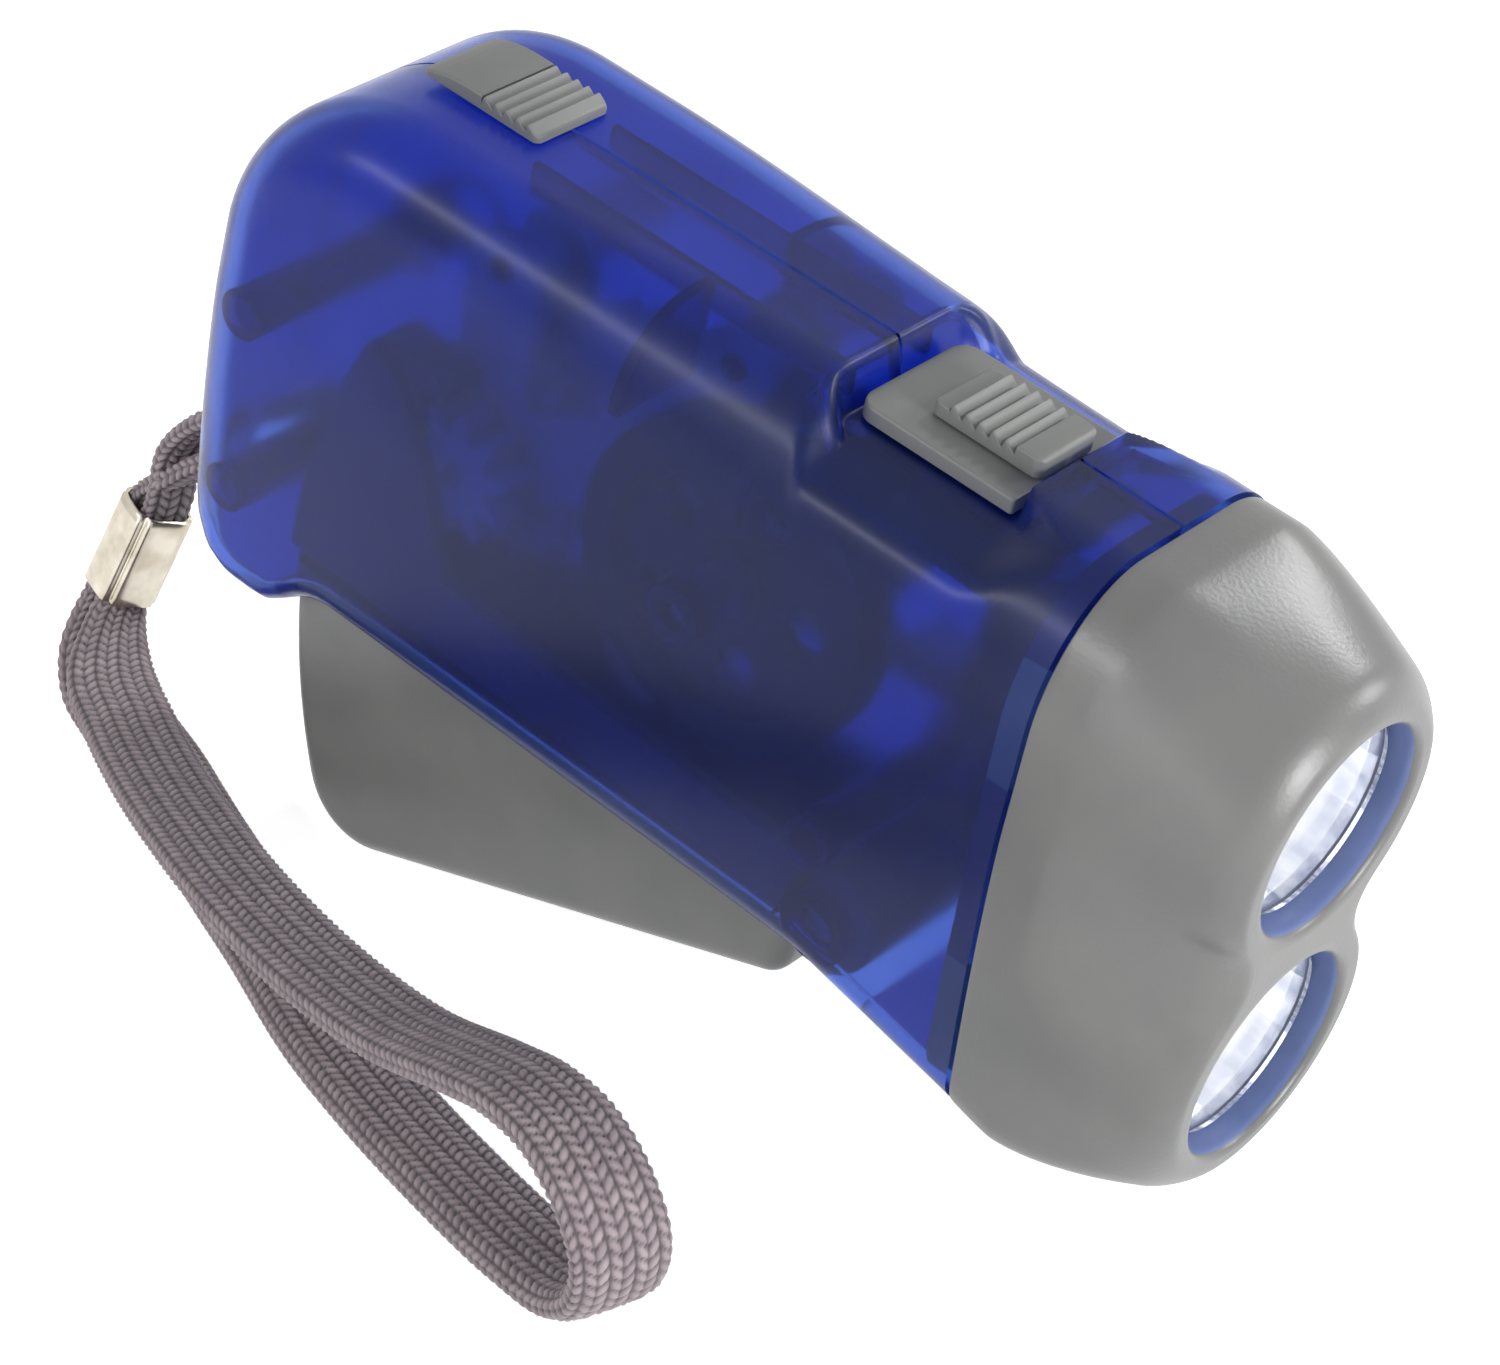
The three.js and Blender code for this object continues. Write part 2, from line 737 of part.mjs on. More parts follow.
function nearHalf() {
  const outer = halfBody(0, seamGap / 2);
  const spots = Object.values(screwSpots);
  const posts = spots.map((spot) => rod('y', spot, postRadius, seamGap / 2, caseHalfWidth));
  const axleBoss = boss(flywheelAxis, axleBossRadius, gap - level.flywheelNear);
  const pilots = spots.map((spot) => rod('y', spot, postBore, 0, screwDepth + 2 * gap));
  const body = join(plainHalf(outer), common(join(...posts, axleBoss), outer));
  return mirrored(cut(body, ...caseCuts(), ...pilots, axleHole()));
}

// Head

// Half-width of the front of the head: two lobes with a rounded waist.
function lobeHalfWidth(z) {
  const middle = (upperLens + lowerLens) / 2;
  const half = (upperLens - lowerLens) / 2;
  const reach = Math.sqrt((lobeRadius + waistFillet) ** 2 - half ** 2);
  const tangent = (waistFillet / (lobeRadius + waistFillet)) * half;
  const away = Math.abs(z - middle);
  if (away < tangent) return reach - Math.sqrt(waistFillet ** 2 - away ** 2);
  return Math.sqrt(Math.max(0, lobeRadius ** 2 - (away - half) ** 2));
}

// Distance from the head's middle to an outline given by its half-widths, in one direction.
function reachOf(widthAt, degrees) {
  const middle = (upperLens + lowerLens) / 2;
  let [inside, outside] = [0, caseHeight];
  for (let k = 0; k < 30; k += 1) {
    const reach = (inside + outside) / 2;
    const [y, z] = polar([0, middle], reach, degrees);
    const within = z < 0 && z > -caseHeight && Math.abs(y) < widthAt(z);
    [inside, outside] = within ? [reach, outside] : [inside, reach];
  }
  return inside;
}

const headSides = 44;
const headReaches = Array.from({ length: headSides }, (_, k) => {
  const degrees = (360 * (k + 0.5)) / headSides;
  return [degrees, reachOf(sectionHalfWidth, degrees), reachOf(lobeHalfWidth, degrees)];
});

// The outline of the head at a distance from the case, shrunk by inset, in the front view.
function headOutline(x, inset) {
  const front = THREE.MathUtils.clamp((x - taperStartX) / taperLength, 0, 1) ** taperBend;
  const share = THREE.MathUtils.clamp(x / headLength, 0, 1);
  const rim = Math.min(1, Math.max(0, (x - headLength + rimLength) / rimLength));
  const drop = rimDrop * (1 - Math.sqrt(1 - rim ** 2));
  return headReaches.map(([degrees, rear, lobe]) => {
    const bulge = headBulge * 2 * share * (1 - share) * (1 - Math.sin(radians(degrees)));
    const reach = mix(rear, lobe, front) + bulge - drop - inset;
    return polar([0, (upperLens + lowerLens) / 2], reach, degrees);
  });
}

function headSolid(stations, inset) {
  const rings = stations.map((x) => headOutline(x, inset).map(([y, z]) => new THREE.Vector3(x, y, z)));
  return loft(rings);
}

function headCover() {
  const taper = [0, 0.25, 0.5, 0.75].map((share) => share * (headLength - rimLength));
  const rim = [0, 0.45, 0.8, 1].map((share) => headLength - rimLength * (1 - share));
  const spigotSpace = block([-spigotLength, -caseHalfWidth, -caseHeight], [gap, caseHalfWidth, 0]);
  const spigot = cut(common(wholeBody(wall + gap), spigotSpace), wholeBody(wall + gap + spigotWall));
  const hollow = [headLedge, 0.5 * headLength, headLength - headFrontWall];
  const outer = cut(
    headSolid([...taper, ...rim], 0), headSolid(hollow, headWall),
    headSolid([-overrun, headLedge + wall], wall + gap + spigotWall),
  );
  const flared = apertureRadius + apertureFlare;
  const profile = [
    [0, 0], [apertureRadius, 0], [apertureRadius, headLength - 2 * apertureFlare],
    [flared, headLength], [flared, headLength + overrun], [0, headLength + overrun],
  ];
  const apertures = [upperLens, lowerLens].map((z) => turned('x', [0, z], profile, 28));
  return cut(join(outer, spigot), ...apertures);
}

const lensFront = headLength - headFrontWall - gap;
const reflectorFront = lensFront - lensThick - gap;
const lensRadius = lobeRadius - headWall - gap;

function lens(z) {
  const profile = [
    [0, lensFront - lensThick], [lensRadius, lensFront - lensThick], [lensRadius, lensFront],
    [0.94 * lensRadius, lensFront], [0.6 * lensRadius, lensFront + 0.6 * lensCrown],
    [0, lensFront + lensCrown],
  ];
  return turned('x', [0, z], profile, 24);
}

// A faceted cup that opens towards the lens, round the light-emitting diode.
function reflector(z) {
  const mouth = lensRadius - reflectorWall;
  const neck = ledRadius + gap;
  const curve = (share) => [
    Math.sqrt(mix(neck ** 2, mouth ** 2, share)), reflectorFront - reflectorDepth * (1 - share),
  ];
  const shares = [0, 0.25, 0.6, 1];
  const inside = shares.map(curve);
  const outside = shares.map(curve).map(([radius, x]) => [radius + reflectorWall, x]);
  return turned('x', [0, z], [...inside, ...outside.reverse(), inside[0]], 16);
}

const ledBoardFront = headLedge + gap + boardThick;
const ledRear = ledBoardFront + gap;

function diodeBody(z) {
  const crown = ledRear + ledLength;
  const dome = arc([0, crown - ledRadius], ledRadius, 0, 90, 3);
  dome[dome.length - 1][0] = 0;
  const flange = ledRear + ledFlangeThick;
  const profile = [[0, ledRear], [ledFlange, ledRear], [ledFlange, flange], [ledRadius, flange], ...dome];
  return turned('x', [0, z], profile, 12);
}

function ledBoard() {
  return along('x', headOutline(ledBoardFront, headWall + 2 * gap), headLedge + gap, ledBoardFront);
}

// Trigger

// Where the underside, moved up by the given distance, meets the arc at the trigger's rear.
function rearLine(above) {
  const start = new THREE.Vector2(...undersideFront).sub(new THREE.Vector2(...pivot));
  start.y += above;
  const way = new THREE.Vector2(1, 0).rotateAround(new THREE.Vector2(), radians(undersideTilt));
  const share = start.dot(way);
  const reach = share + Math.sqrt(share ** 2 - start.lengthSq() + (triggerRadius - above) ** 2);
  return [pivot[0] + start.x - reach * way.x, pivot[1] + start.y - reach * way.y];
}

// The side view of the trough, shrunk by inset at its underside, rear and front.
function troughOutline(inset) {
  const corner = rearLine(inset);
  const low = direction(pivot, corner);
  const high = 180 + THREE.MathUtils.radToDeg(Math.asin(wallTopBelowPivot / (triggerRadius - inset)));
  const rear = arc(pivot, triggerRadius - inset, mix(low + 360, high, rearArcShare), high, 8);
  const top = pivot[1] - wallTopBelowPivot;
  const round = rounded([
    [...rear[0], 0],
    [...corner, rearCorner - inset],
    [undersideFront[0] - inset, undersideFront[1] + inset, undersideCorner - inset],
    [undersideFront[0] - inset + wall, top, 0],
  ], 4);
  return [...rear.slice(1).reverse(), ...round];
}

function triggerBody() {
  const trough = cut(
    edged(troughOutline(0), -triggerHalfWidth, triggerHalfWidth),
    along('y', openTop(troughOutline(triggerWall)), -triggerInside, triggerInside),
  );
  const hub = rod('y', pivot, hubRadius, -triggerHalfWidth, triggerHalfWidth, 20);
  const floorFront = undersideFront[1] + wall;
  const hubWeb = along('y', [
    [pivot[0] - hubRadius, pivot[1]], [undersideFront[0], floorFront],
    [undersideFront[0] + wall, floorFront], pivot,
  ], -triggerInside, triggerInside);
  const whole = join(trough, hub, hubWeb, nearWall(), toothedSector());
  const pinHole = rod('y', pivot, pinRadius + pinClearance, -caseHalfWidth, caseHalfWidth);
  return cut(whole, ...springSpace(), pinHole, latchNotch());
}

// The wall on the near side that covers the opening of the case and carries the toothed arc.
function nearWall() {
  const inner = nearWallShares.map(([share, up]) => polar(pivot, share * triggerRadius, 180 - up));
  const outline = [
    ...arc(pivot, triggerRadius, 180 - sectorTopAngle, 190, 12),
    [pivot[0], pivot[1] - wallTopBelowPivot], ...inner.reverse(),
  ];
  return along('y', outline, -triggerHalfWidth, -triggerInside);
}

// The space round the hub for the spring's turns, and the door through which its leg leaves.
function springSpace() {
  const round = rod('y', pivot, springRadius + 2 * springWire, -springSpan(), springSpan(), 16);
  const door = block(
    [pivot[0] - caseLength / 4, -springSpan(), pivot[1] - hubRadius - wall],
    [pivot[0] + hubRadius, springSpan(), pivot[1] + hubRadius],
  );
  return [round, common(door, rod('y', pivot, springDoorShare * hubRadius, -springSpan(), springSpan()))];
}

// The notch in the rear of the arc that the lock's tooth enters when the trigger is squeezed.
function latchNotch() {
  const middle = 180 + triggerSwing - notchAngle;
  const [low, high] = [middle - notchHalfAngle, middle + notchHalfAngle];
  const outline = [
    ...arc(pivot, triggerRadius - notchDepthShare * latchTooth, low, high, 3),
    ...arc(pivot, triggerRadius + overrun, high, low, 3),
  ];
  return along('y', outline, -triggerHalfWidth - overrun, triggerHalfWidth);
}

const springSpan = () => (springTurns * springPitch) / 2 + springWire;

// An outline drawn out sideways with softened edges.
function edged(outline, low, high) {
  const shape = new THREE.Shape(cleaned(outline).map((point) => new THREE.Vector2(...point)));
  const geometry = new THREE.ExtrudeGeometry(shape, {
    depth: high - low - 2 * triggerEdge,
    bevelThickness: triggerEdge,
    bevelSize: triggerEdge,
    bevelOffset: -triggerEdge,
    bevelSegments: 2,
  });
  const sideways = new THREE.Matrix4().makeBasis(axisX, axisZ, axisY.clone().negate());
  return solid(geometry.applyMatrix4(sideways.setPosition(0, high - triggerEdge, 0)));
}

// An outline whose topmost points are moved up, so that a cut with it leaves no lid.
function openTop(outline) {
  const top = Math.max(...outline.map(([, z]) => z));
  return outline.map(([x, z]) => [x, z > top - gap ? z + overrun : z]);
}

// The inner-toothed arc at the rear of the trigger.
function toothedSector() {
  const [low, high] = [180 - sectorTopAngle, 180 - sectorBottomAngle];
  const innerRadius = sectorRadius - tipShare * sectorModule;
  const outline = [...arc(pivot, triggerRadius, low, high, 14), ...arc(pivot, innerRadius, high, low, 14)];
  const ring = along('y', outline, -triggerHalfWidth + triggerWall / 2, level.flywheelFar);
  const half = Math.ceil(sectorTeeth / 4);
  const teeth = gearOutline(
    pivot, sectorTeeth, sectorModule, inputPhase,
    { thinning: -toothThinning, first: -half, last: half },
  );
  const spaces = along('y', [...teeth, pivot], -caseHalfWidth, caseHalfWidth);
  return cut(ring, common(spaces, rod('y', pivot, triggerRadius, -triggerInside, caseHalfWidth, 40)));
}

const triggerPin = () => rod('y', pivot, pinRadius, gap - pinEnd(), pinEnd() - gap);

// The torsion spring: a helix round the pin with a leg on the trigger's floor and one under the case.
function returnSpring() {
  const turns = springTurns + 0.4;
  const steps = Math.round(turns * 8);
  const path = [];
  for (let k = 0; k <= steps; k += 1) {
    const degrees = 200 - (360 * turns * k) / steps;
    const [x, z] = polar(pivot, springRadius, degrees);
    path.push(new THREE.Vector3(x, springPitch * turns * (k / steps - 0.5), z));
  }
  const legFrom = (end, next, length) => end.clone().sub(next).normalize().multiplyScalar(length).add(end);
  const floorLeg = polar([path[0].x, path[0].z], springLeg, 180 + undersideTilt + springLegAngle);
  const caseLeg = legFrom(path.at(-1), path.at(-2), springRadius);
  const route = [new THREE.Vector3(floorLeg[0], path[0].y, floorLeg[1]), ...path, caseLeg];
  return wire(route, springWire / 2, 5, steps + 12);
}

// A round wire along a route of points.
function wire(route, radius, sides, steps) {
  const curve = new THREE.CatmullRomCurve3(route, false, 'centripetal');
  const shape = new THREE.Shape(circle([0, 0], radius, sides).map((point) => new THREE.Vector2(...point)));
  return solid(new THREE.ExtrudeGeometry(shape, { steps, extrudePath: curve, bevelEnabled: false }));
}

// Gear train pieces

function gearPlate(low, high, bores) {
  const spots = [inputAxis, secondAxis, flywheelAxis, ...pillarSpots, lowerPillar];
  const bars = [[0, 1], [1, 2], [3, 0], [4, 1], [5, 1], [5, 2]];
  const plates = bars.map(([a, b]) => {
    const way = direction(spots[a], spots[b]);
    const ends = [
      ...arc(spots[b], plateLug, way - 90, way + 90, 5),
      ...arc(spots[a], plateLug, way + 90, way + 270, 5),
    ];
    return along('y', ends, low, high);
  });
  const holes = bores.map(([spot, radius]) => rod('y', spot, radius, -caseHalfWidth, caseHalfWidth));
  return cut(join(...plates), ...holes);
}

function nearPlate() {
  const bores = [
    [inputAxis, hubTube + gap], [secondAxis, axleRadius + axleClearance], [flywheelAxis, hubTube + gap],
  ];
  const plate = gearPlate(level.nearPlate, level.nearPlateFar, bores);
  const pillars = [...pillarSpots, lowerPillar].map((spot) => rod(
    'y', spot, pillarRadius, level.nearPlateFar - plateThick / 2, level.farPlate - gap,
  ));
  const pegHoles = pillarSpots.map((spot) => rod('y', spot, pillarBore, -caseHalfWidth, caseHalfWidth));
  return cut(join(plate, ...pillars), ...pegHoles);
}

function farPlate() {
  const bores = [
    [inputAxis, axleRadius + axleClearance], [secondAxis, axleRadius + axleClearance],
    [flywheelAxis, hubTube + gap], ...pillarSpots.map((spot) => [spot, pillarBore]),
  ];
  return gearPlate(level.farPlate, level.farPlateFar, bores);
}

const axleBore = (spot) => rod('y', spot, axleRadius + axleClearance, -caseHalfWidth, caseHalfWidth);

function inputPinion() {
  const outline = gearOutline(inputAxis, inputTeeth, sectorModule, inputPhase);
  const teeth = along('y', outline, level.flywheelNear, level.flywheelFar);
  const hub = rod('y', inputAxis, hubTube, level.flywheelFar - gap, level.drive + ratchetDepth - gap, 6);
  return cut(join(teeth, hub), axleBore(inputAxis));
}

// A spring pawl with two curved arms on the pinion's six-sided hub.
function ratchetPawl() {
  const low = level.drive + (ratchetDepth - pawlThick) / 2 - gap / 2;
  const high = low + pawlThick;
  const arm = (start) => along('y', [
    ...arc(inputAxis, pawlRadius, start, start + 130, 8),
    ...arc(inputAxis, pawlRadius - wall / 2, start + 130, start + 20, 8),
    ...arc(inputAxis, pawlHub, start + 10, start - 25, 3),
  ], low, high);
  const hub = rod('y', inputAxis, pawlHub + gap, low, high, 18);
  const bore = rod('y', inputAxis, hubTube + gap, -caseHalfWidth, caseHalfWidth, 6);
  return cut(join(arm(0), arm(180), hub), bore);
}

function driveGear() {
  const outline = gearOutline(inputAxis, driveTeeth, driveModule, drivePhase);
  const body = along('y', outline, level.drive, level.driveFar);
  const saw = Array.from({ length: ratchetTeeth }, (_, k) => {
    const start = (360 * k) / ratchetTeeth;
    return [
      polar(inputAxis, ratchetRadius, start),
      polar(inputAxis, ratchetRadius + ratchetStep, start + 340 / ratchetTeeth),
    ];
  }).flat();
  const dish = along('y', saw, level.drive - wall, level.drive + ratchetDepth);
  return cut(body, dish, axleBore(inputAxis));
}

function secondGear() {
  const pinionOutline = gearOutline(secondAxis, secondPinionTeeth, driveModule, secondPinionPhase);
  const pinion = along('y', pinionOutline, level.drive, level.second + wall / 2);
  const wheelOutline = gearOutline(secondAxis, secondTeeth, flyModule, secondPhase);
  const wheel = along('y', wheelOutline, level.second, level.secondFar);
  const rimInner = (secondTeeth * flyModule) / 2 - rootShare * flyModule - gearRim;
  const dish = cut(
    rod('y', secondAxis, rimInner, level.second + gearWeb, level.secondFar + wall, 28),
    rod('y', secondAxis, hubTube, -caseHalfWidth, caseHalfWidth),
  );
  return cut(join(pinion, wheel), dish, axleBore(secondAxis));
}

// The flywheel: heavy rim, thin web, hub with the pinion, and the seat of the magnet.
function flywheel() {
  const { flywheelNear: near, flywheelFar: far } = level;
  const middle = (near + far) / 2;
  const [webLow, webHigh] = [middle - flywheelWeb / 2, middle + flywheelWeb / 2];
  const [rimInner, hubOuter] = [flywheelRadius - flywheelRim, hubTube + wall];
  const wheel = turned('y', flywheelAxis, [
    [0, near], [hubOuter, near], [hubOuter, webLow], [rimInner, webLow], [rimInner, near],
    [flywheelRadius, near], [flywheelRadius, far], [rimInner, far], [rimInner, webHigh],
    [hubOuter, webHigh], [hubOuter, far], [0, far],
  ], 32);
  const hub = rod('y', flywheelAxis, hubTube, middle, level.magnetFar, 16);
  const pinionOutline = gearOutline(flywheelAxis, flyPinionTeeth, flyModule, flyPinionPhase);
  const pinion = along('y', pinionOutline, level.second, level.secondFar);
  const holes = Array.from({ length: webHoles }, (_, k) => {
    const spot = polar(flywheelAxis, (rimInner + hubOuter) / 2, (360 * k) / webHoles);
    return rod('y', spot, rimInner / 5, near, far, 8);
  });
  return cut(join(wheel, hub, pinion), axleBore(flywheelAxis), ...holes);
}

function ringMagnet() {
  const far = level.magnetFar - gap;
  return turned('y', flywheelAxis, [
    [magnetBore, level.magnet], [magnetRadius, level.magnet], [magnetRadius, far], [magnetBore, far],
    [magnetBore, level.magnet],
  ], 24);
}

const axle = (spot, low, high) => rod('y', spot, axleRadius, low, high, 10);

// Generator

// Two arms from curved poles round the magnet to a leg that carries the winding.
function statorCore() {
  const inner = magnetRadius + airGap;
  const outer = inner + poleThick;
  const pole = (middle) => along('y', [
    ...arc(flywheelAxis, outer, middle - poleHalfAngle, middle + poleHalfAngle, 12),
    ...arc(flywheelAxis, inner, middle + poleHalfAngle, middle - poleHalfAngle, 12),
  ], level.core, level.coreFar);
  const [legRear, legFront] = [coreLegX - coreLeg / 2, coreLegX + coreLeg / 2];
  const middleZ = flywheelAxis[1];
  const magnetSpace = rod('y', flywheelAxis, inner, -caseHalfWidth, caseHalfWidth, 24);
  const bar = (low, high, rear) => along(
    'y', rectangle(rear, middleZ + low, legFront, middleZ + high), level.core, level.coreFar,
  );
  const end = coreArm + poleThick;
  const arms = [bar(coreArm, end, flywheelAxis[0]), bar(-end, -coreArm, flywheelAxis[0])];
  const cutArms = arms.map((arm) => cut(arm, magnetSpace));
  return join(pole(90), pole(-90), ...cutArms, bar(-end, end, legRear));
}

const coilCentre = () => [coreLegX, (level.core + level.coreFar) / 2];

function bobbin() {
  const [low, high] = [flywheelAxis[1] - bobbinLength / 2, flywheelAxis[1] + bobbinLength / 2];
  const tube = rod('z', coilCentre(), bobbinTube, low, high, 20);
  const flanges = [low, high - bobbinFlangeThick].map((z) => rod(
    'z', coilCentre(), bobbinFlange, z, z + bobbinFlangeThick, 20,
  ));
  const bore = block(
    [coreLegX - coreLeg / 2 - gap, level.core - gap, low - overrun],
    [coreLegX + coreLeg / 2 + gap, level.coreFar + gap, high + overrun],
  );
  return cut(join(tube, ...flanges), bore);
}

// The winding: one wire in even loops round the bobbin.
function winding() {
  const radius = bobbinTube + gap + wireRadius;
  const span = bobbinLength - 2 * bobbinFlangeThick - 2 * gap - 2 * wireRadius;
  const steps = wireLoops * wireLoopSteps;
  const route = Array.from({ length: steps + 1 }, (_, k) => {
    const [x, y] = polar(coilCentre(), radius, (360 * k) / wireLoopSteps);
    return new THREE.Vector3(x, y, flywheelAxis[1] + span * (k / steps - 0.5));
  });
  const between = span / wireLoops - 2 * wireRadius;
  console.log(`least gap between the winding's loops: ${between.toFixed(2)} mm`);
  return wire(route, wireRadius, wireSides, steps);
}

// Electrics

const boardTop = -boardDrop;

function circuitBoard() {
  const low = [-boardRear, -boardHalfWidth, boardTop - boardThick];
  return block(low, [-boardFront, boardHalfWidth, boardTop]);
}

const knobMiddleX = -recessFloorFront - knobFrontMargin - knobLength / 2;

function switchBody() {
  const length = switchBodyLength / 2;
  return block(
    [knobMiddleX - length, -switchBodyHalfWidth, boardTop + gap / 2],
    [knobMiddleX + length, switchBodyHalfWidth, boardTop + switchBodyHeight],
  );
}

function switchPlate() {
  const [rear, front] = [-recessFloorRear + gap, -recessFloorRear + gap + switchPlateLength];
  const top = -recessDepth + gap + switchPlateThick;
  const half = switchPlateHalfWidth;
  const corners = [
    [rear, -half, switchPlateCorner], [front, -half, gap], [front, half, gap],
    [rear, half, switchPlateCorner],
  ];
  const slot = rectangle(
    knobMiddleX - stemLength / 2 - knobTravel - gap, -stemWidth / 2 - gap,
    knobMiddleX + stemLength / 2 + gap, stemWidth / 2 + gap,
  );
  return along('z', rounded(corners, 4), top - switchPlateThick, top, [slot]);
}

// Wedge-shaped ribs across a knob: a side view from rear to front.
function ribs(start, base, count, pitch, height) {
  const points = [[start, base - height]];
  for (let k = 0; k < count; k += 1) {
    points.push(
      [start + pitch * k, base], [start + pitch * (k + 0.62), base + height],
      [start + pitch * (k + 0.9), base + 0.8 * height],
    );
  }
  return [...points, [start + pitch * count, base], [start + pitch * count, base - height]];
}

function switchKnob() {
  const bottom = -recessDepth + 2 * gap + switchPlateThick;
  const [rear, front] = [knobMiddleX - knobLength / 2, knobMiddleX + knobLength / 2];
  const [half, top] = [knobWidth / 2, bottom + knobHeight];
  const corners = [[rear, -half], [front, -half], [front, half], [rear, half]];
  const plan = rounded(corners.map((corner) => [...corner, knobCorner]), 3);
  const pad = along('z', plan, bottom, top);
  const ribStart = rear + (knobLength - knobRibs * ribPitch) * ribStartShare;
  const low = top - ribHeight;
  const dip = along('y', [
    [ribStart, low], ...ribs(ribStart, low, knobRibs, ribPitch, ribHeight).slice(1, -1),
    [ribStart + knobRibs * ribPitch, top + knobHeight], [ribStart, top + knobHeight],
  ], -half - gap, half + gap);
  const stem = block(
    [knobMiddleX - stemLength / 2, -stemWidth / 2, boardTop + switchBodyHeight + gap],
    [knobMiddleX + stemLength / 2, stemWidth / 2, bottom + knobHeight / 2],
  );
  return join(cut(pad, dip), stem);
}

// Lock button with its stem, latch plate and toothed arm inside the case.
function lockButton() {
  const topOfCase = caseCornerShares[3][1] * caseHeight;
  const bottom = topOfCase + gap;
  const [rear, front] = [-lockRear, -lockRear + lockLength];
  const ribStart = front - lockRibs * lockRibPitch - gap;
  const crown = bottom + lockHeight;
  const low = crown - lockRibHeight;
  const domePoints = domeShares.map(([x, z]) => [rear + x * lockLength, bottom + z * lockHeight]);
  const side = [
    [rear, bottom], ...domePoints, [ribStart, low],
    ...ribs(ribStart, low, lockRibs, lockRibPitch, lockRibHeight).slice(2, -2),
    [front, low - gap], [front, bottom],
  ];
  const button = along('y', side, -lockHalfWidth, lockHalfWidth);
  const middle = (rear + front) / 2;
  const latchTop = topOfCase - wall - latchDrop;
  const stem = block(
    [middle - lockStemLength / 2, -lockStemWidth / 2, latchTop - latchPlateThick / 2],
    [middle + lockStemLength / 2, lockStemWidth / 2, bottom + lockHeight / 4],
  );
  const plate = block(
    [middle - lockStemLength / 2 - wall, -latchReach, latchTop - latchPlateThick],
    [middle + lockStemLength / 2 + wall, 2 * lockStemWidth, latchTop],
  );
  return join(button, stem, plate, latch(latchTop));
}

// The arm that hangs from the latch plate, and the tooth that enters the squeezed sector's notch.
function latch(top) {
  const notch = polar(pivot, triggerRadius, 180 - notchAngle);
  const toothTip = notch[0] - lockTravel + latchTooth / 2;
  const armFront = notch[0] - lockTravel - latchTooth / 2;
  const armRear = armFront - latchArm;
  const [plateMiddle, low, high] = [
    top - latchPlateThick / 2, notch[1] - latchToothHeight / 2, notch[1] + latchToothHeight / 2,
  ];
  const arm = along('y', [
    [armRear, plateMiddle], [armRear, low], [toothTip, low], [toothTip, notch[1]], [armFront, high],
    [armFront, plateMiddle],
  ], -latchReach, level.flywheelFar);
  const middle = -lockRear + lockLength / 2;
  const [rear, front] = [Math.min(armRear, middle - wall), Math.max(armFront, middle + wall)];
  return join(arm, block([rear, -latchReach, top - latchPlateThick], [front, level.flywheelFar, top]));
}

// Cell

function cellHolder() {
  const [rear, front] = [cellX - cellThick, headLedge - 2 * gap];
  const [inside, outside] = [cellRadius + gap, cellRadius + gap + holderWall];
  const body = turned('x', [0, cellZ], [[0, rear], [outside, rear], [outside, front], [0, front]], 24);
  const pocket = turned('x', [0, cellZ], [
    [0, rear - overrun], [inside, rear - overrun], [inside, cellX + gap], [0, cellX + gap],
  ], 24);
  const [floor, opening] = [cellX + holderFloor, cellRadius - holderWall];
  const hollow = turned('x', [0, cellZ], [
    [0, floor], [opening, floor], [opening, front + gap], [0, front + gap],
  ], 24);
  const seat = along('x', headOutline(0, wall + spigotWall + 2 * gap), 2 * gap, front);
  return cut(join(body, seat), pocket, hollow);
}

function coinCell() {
  const rear = cellX - cellThick;
  return turned('x', [0, cellZ], [
    [0, rear], [cellRadius - gap, rear], [cellRadius, rear + gap], [cellRadius, cellX - gap],
    [cellRadius - 2 * gap, cellX], [0, cellX],
  ], 24);
}

function cellContact() {
  const x = cellX - cellThick - gap;
  const reach = cellRadius + holderWall + contactOverlap;
  return block(
    [x - contactThick, -contactWidth / 2, cellZ - reach], [x, contactWidth / 2, cellZ + reach],
  );
}

// Screws

function screw(spot) {
  const head = wellFloor + gap;
  return turned('y', spot, [
    [0, -screwDepth], [screwShank / 2, -screwDepth], [screwShank, screwShank - screwDepth],
    [screwShank, head], [screwHeadRadius, head], [screwHeadRadius, head + screwHeadThick / 2],
    [0.6 * screwHeadRadius, head + screwHeadThick], [0, head + screwHeadThick],
  ], 12);
}

// Strap. Its routes are points on the standing torch, before the last shift: x, y and height.

const ferruleTop = new THREE.Vector3(-107.3, -1.6, 19.2);
const ferruleBottom = new THREE.Vector3(-110.4, -4.2, 10.6);
const strapSide = new THREE.Vector3(0.33, 0.944, 0).normalize();

const ferruleAxis = new THREE.Vector3().subVectors(ferruleBottom, ferruleTop).normalize();
const ferruleThin = new THREE.Vector3().crossVectors(ferruleAxis, strapSide).normalize();

// A point of the ferrule's inside: a share of its length from the top, and off its axis.
function ferrulePoint(share, off) {
  const onAxis = ferruleTop.clone().addScaledVector(ferruleAxis, ferruleLength * share);
  return onAxis.addScaledVector(ferruleThin, off);
}

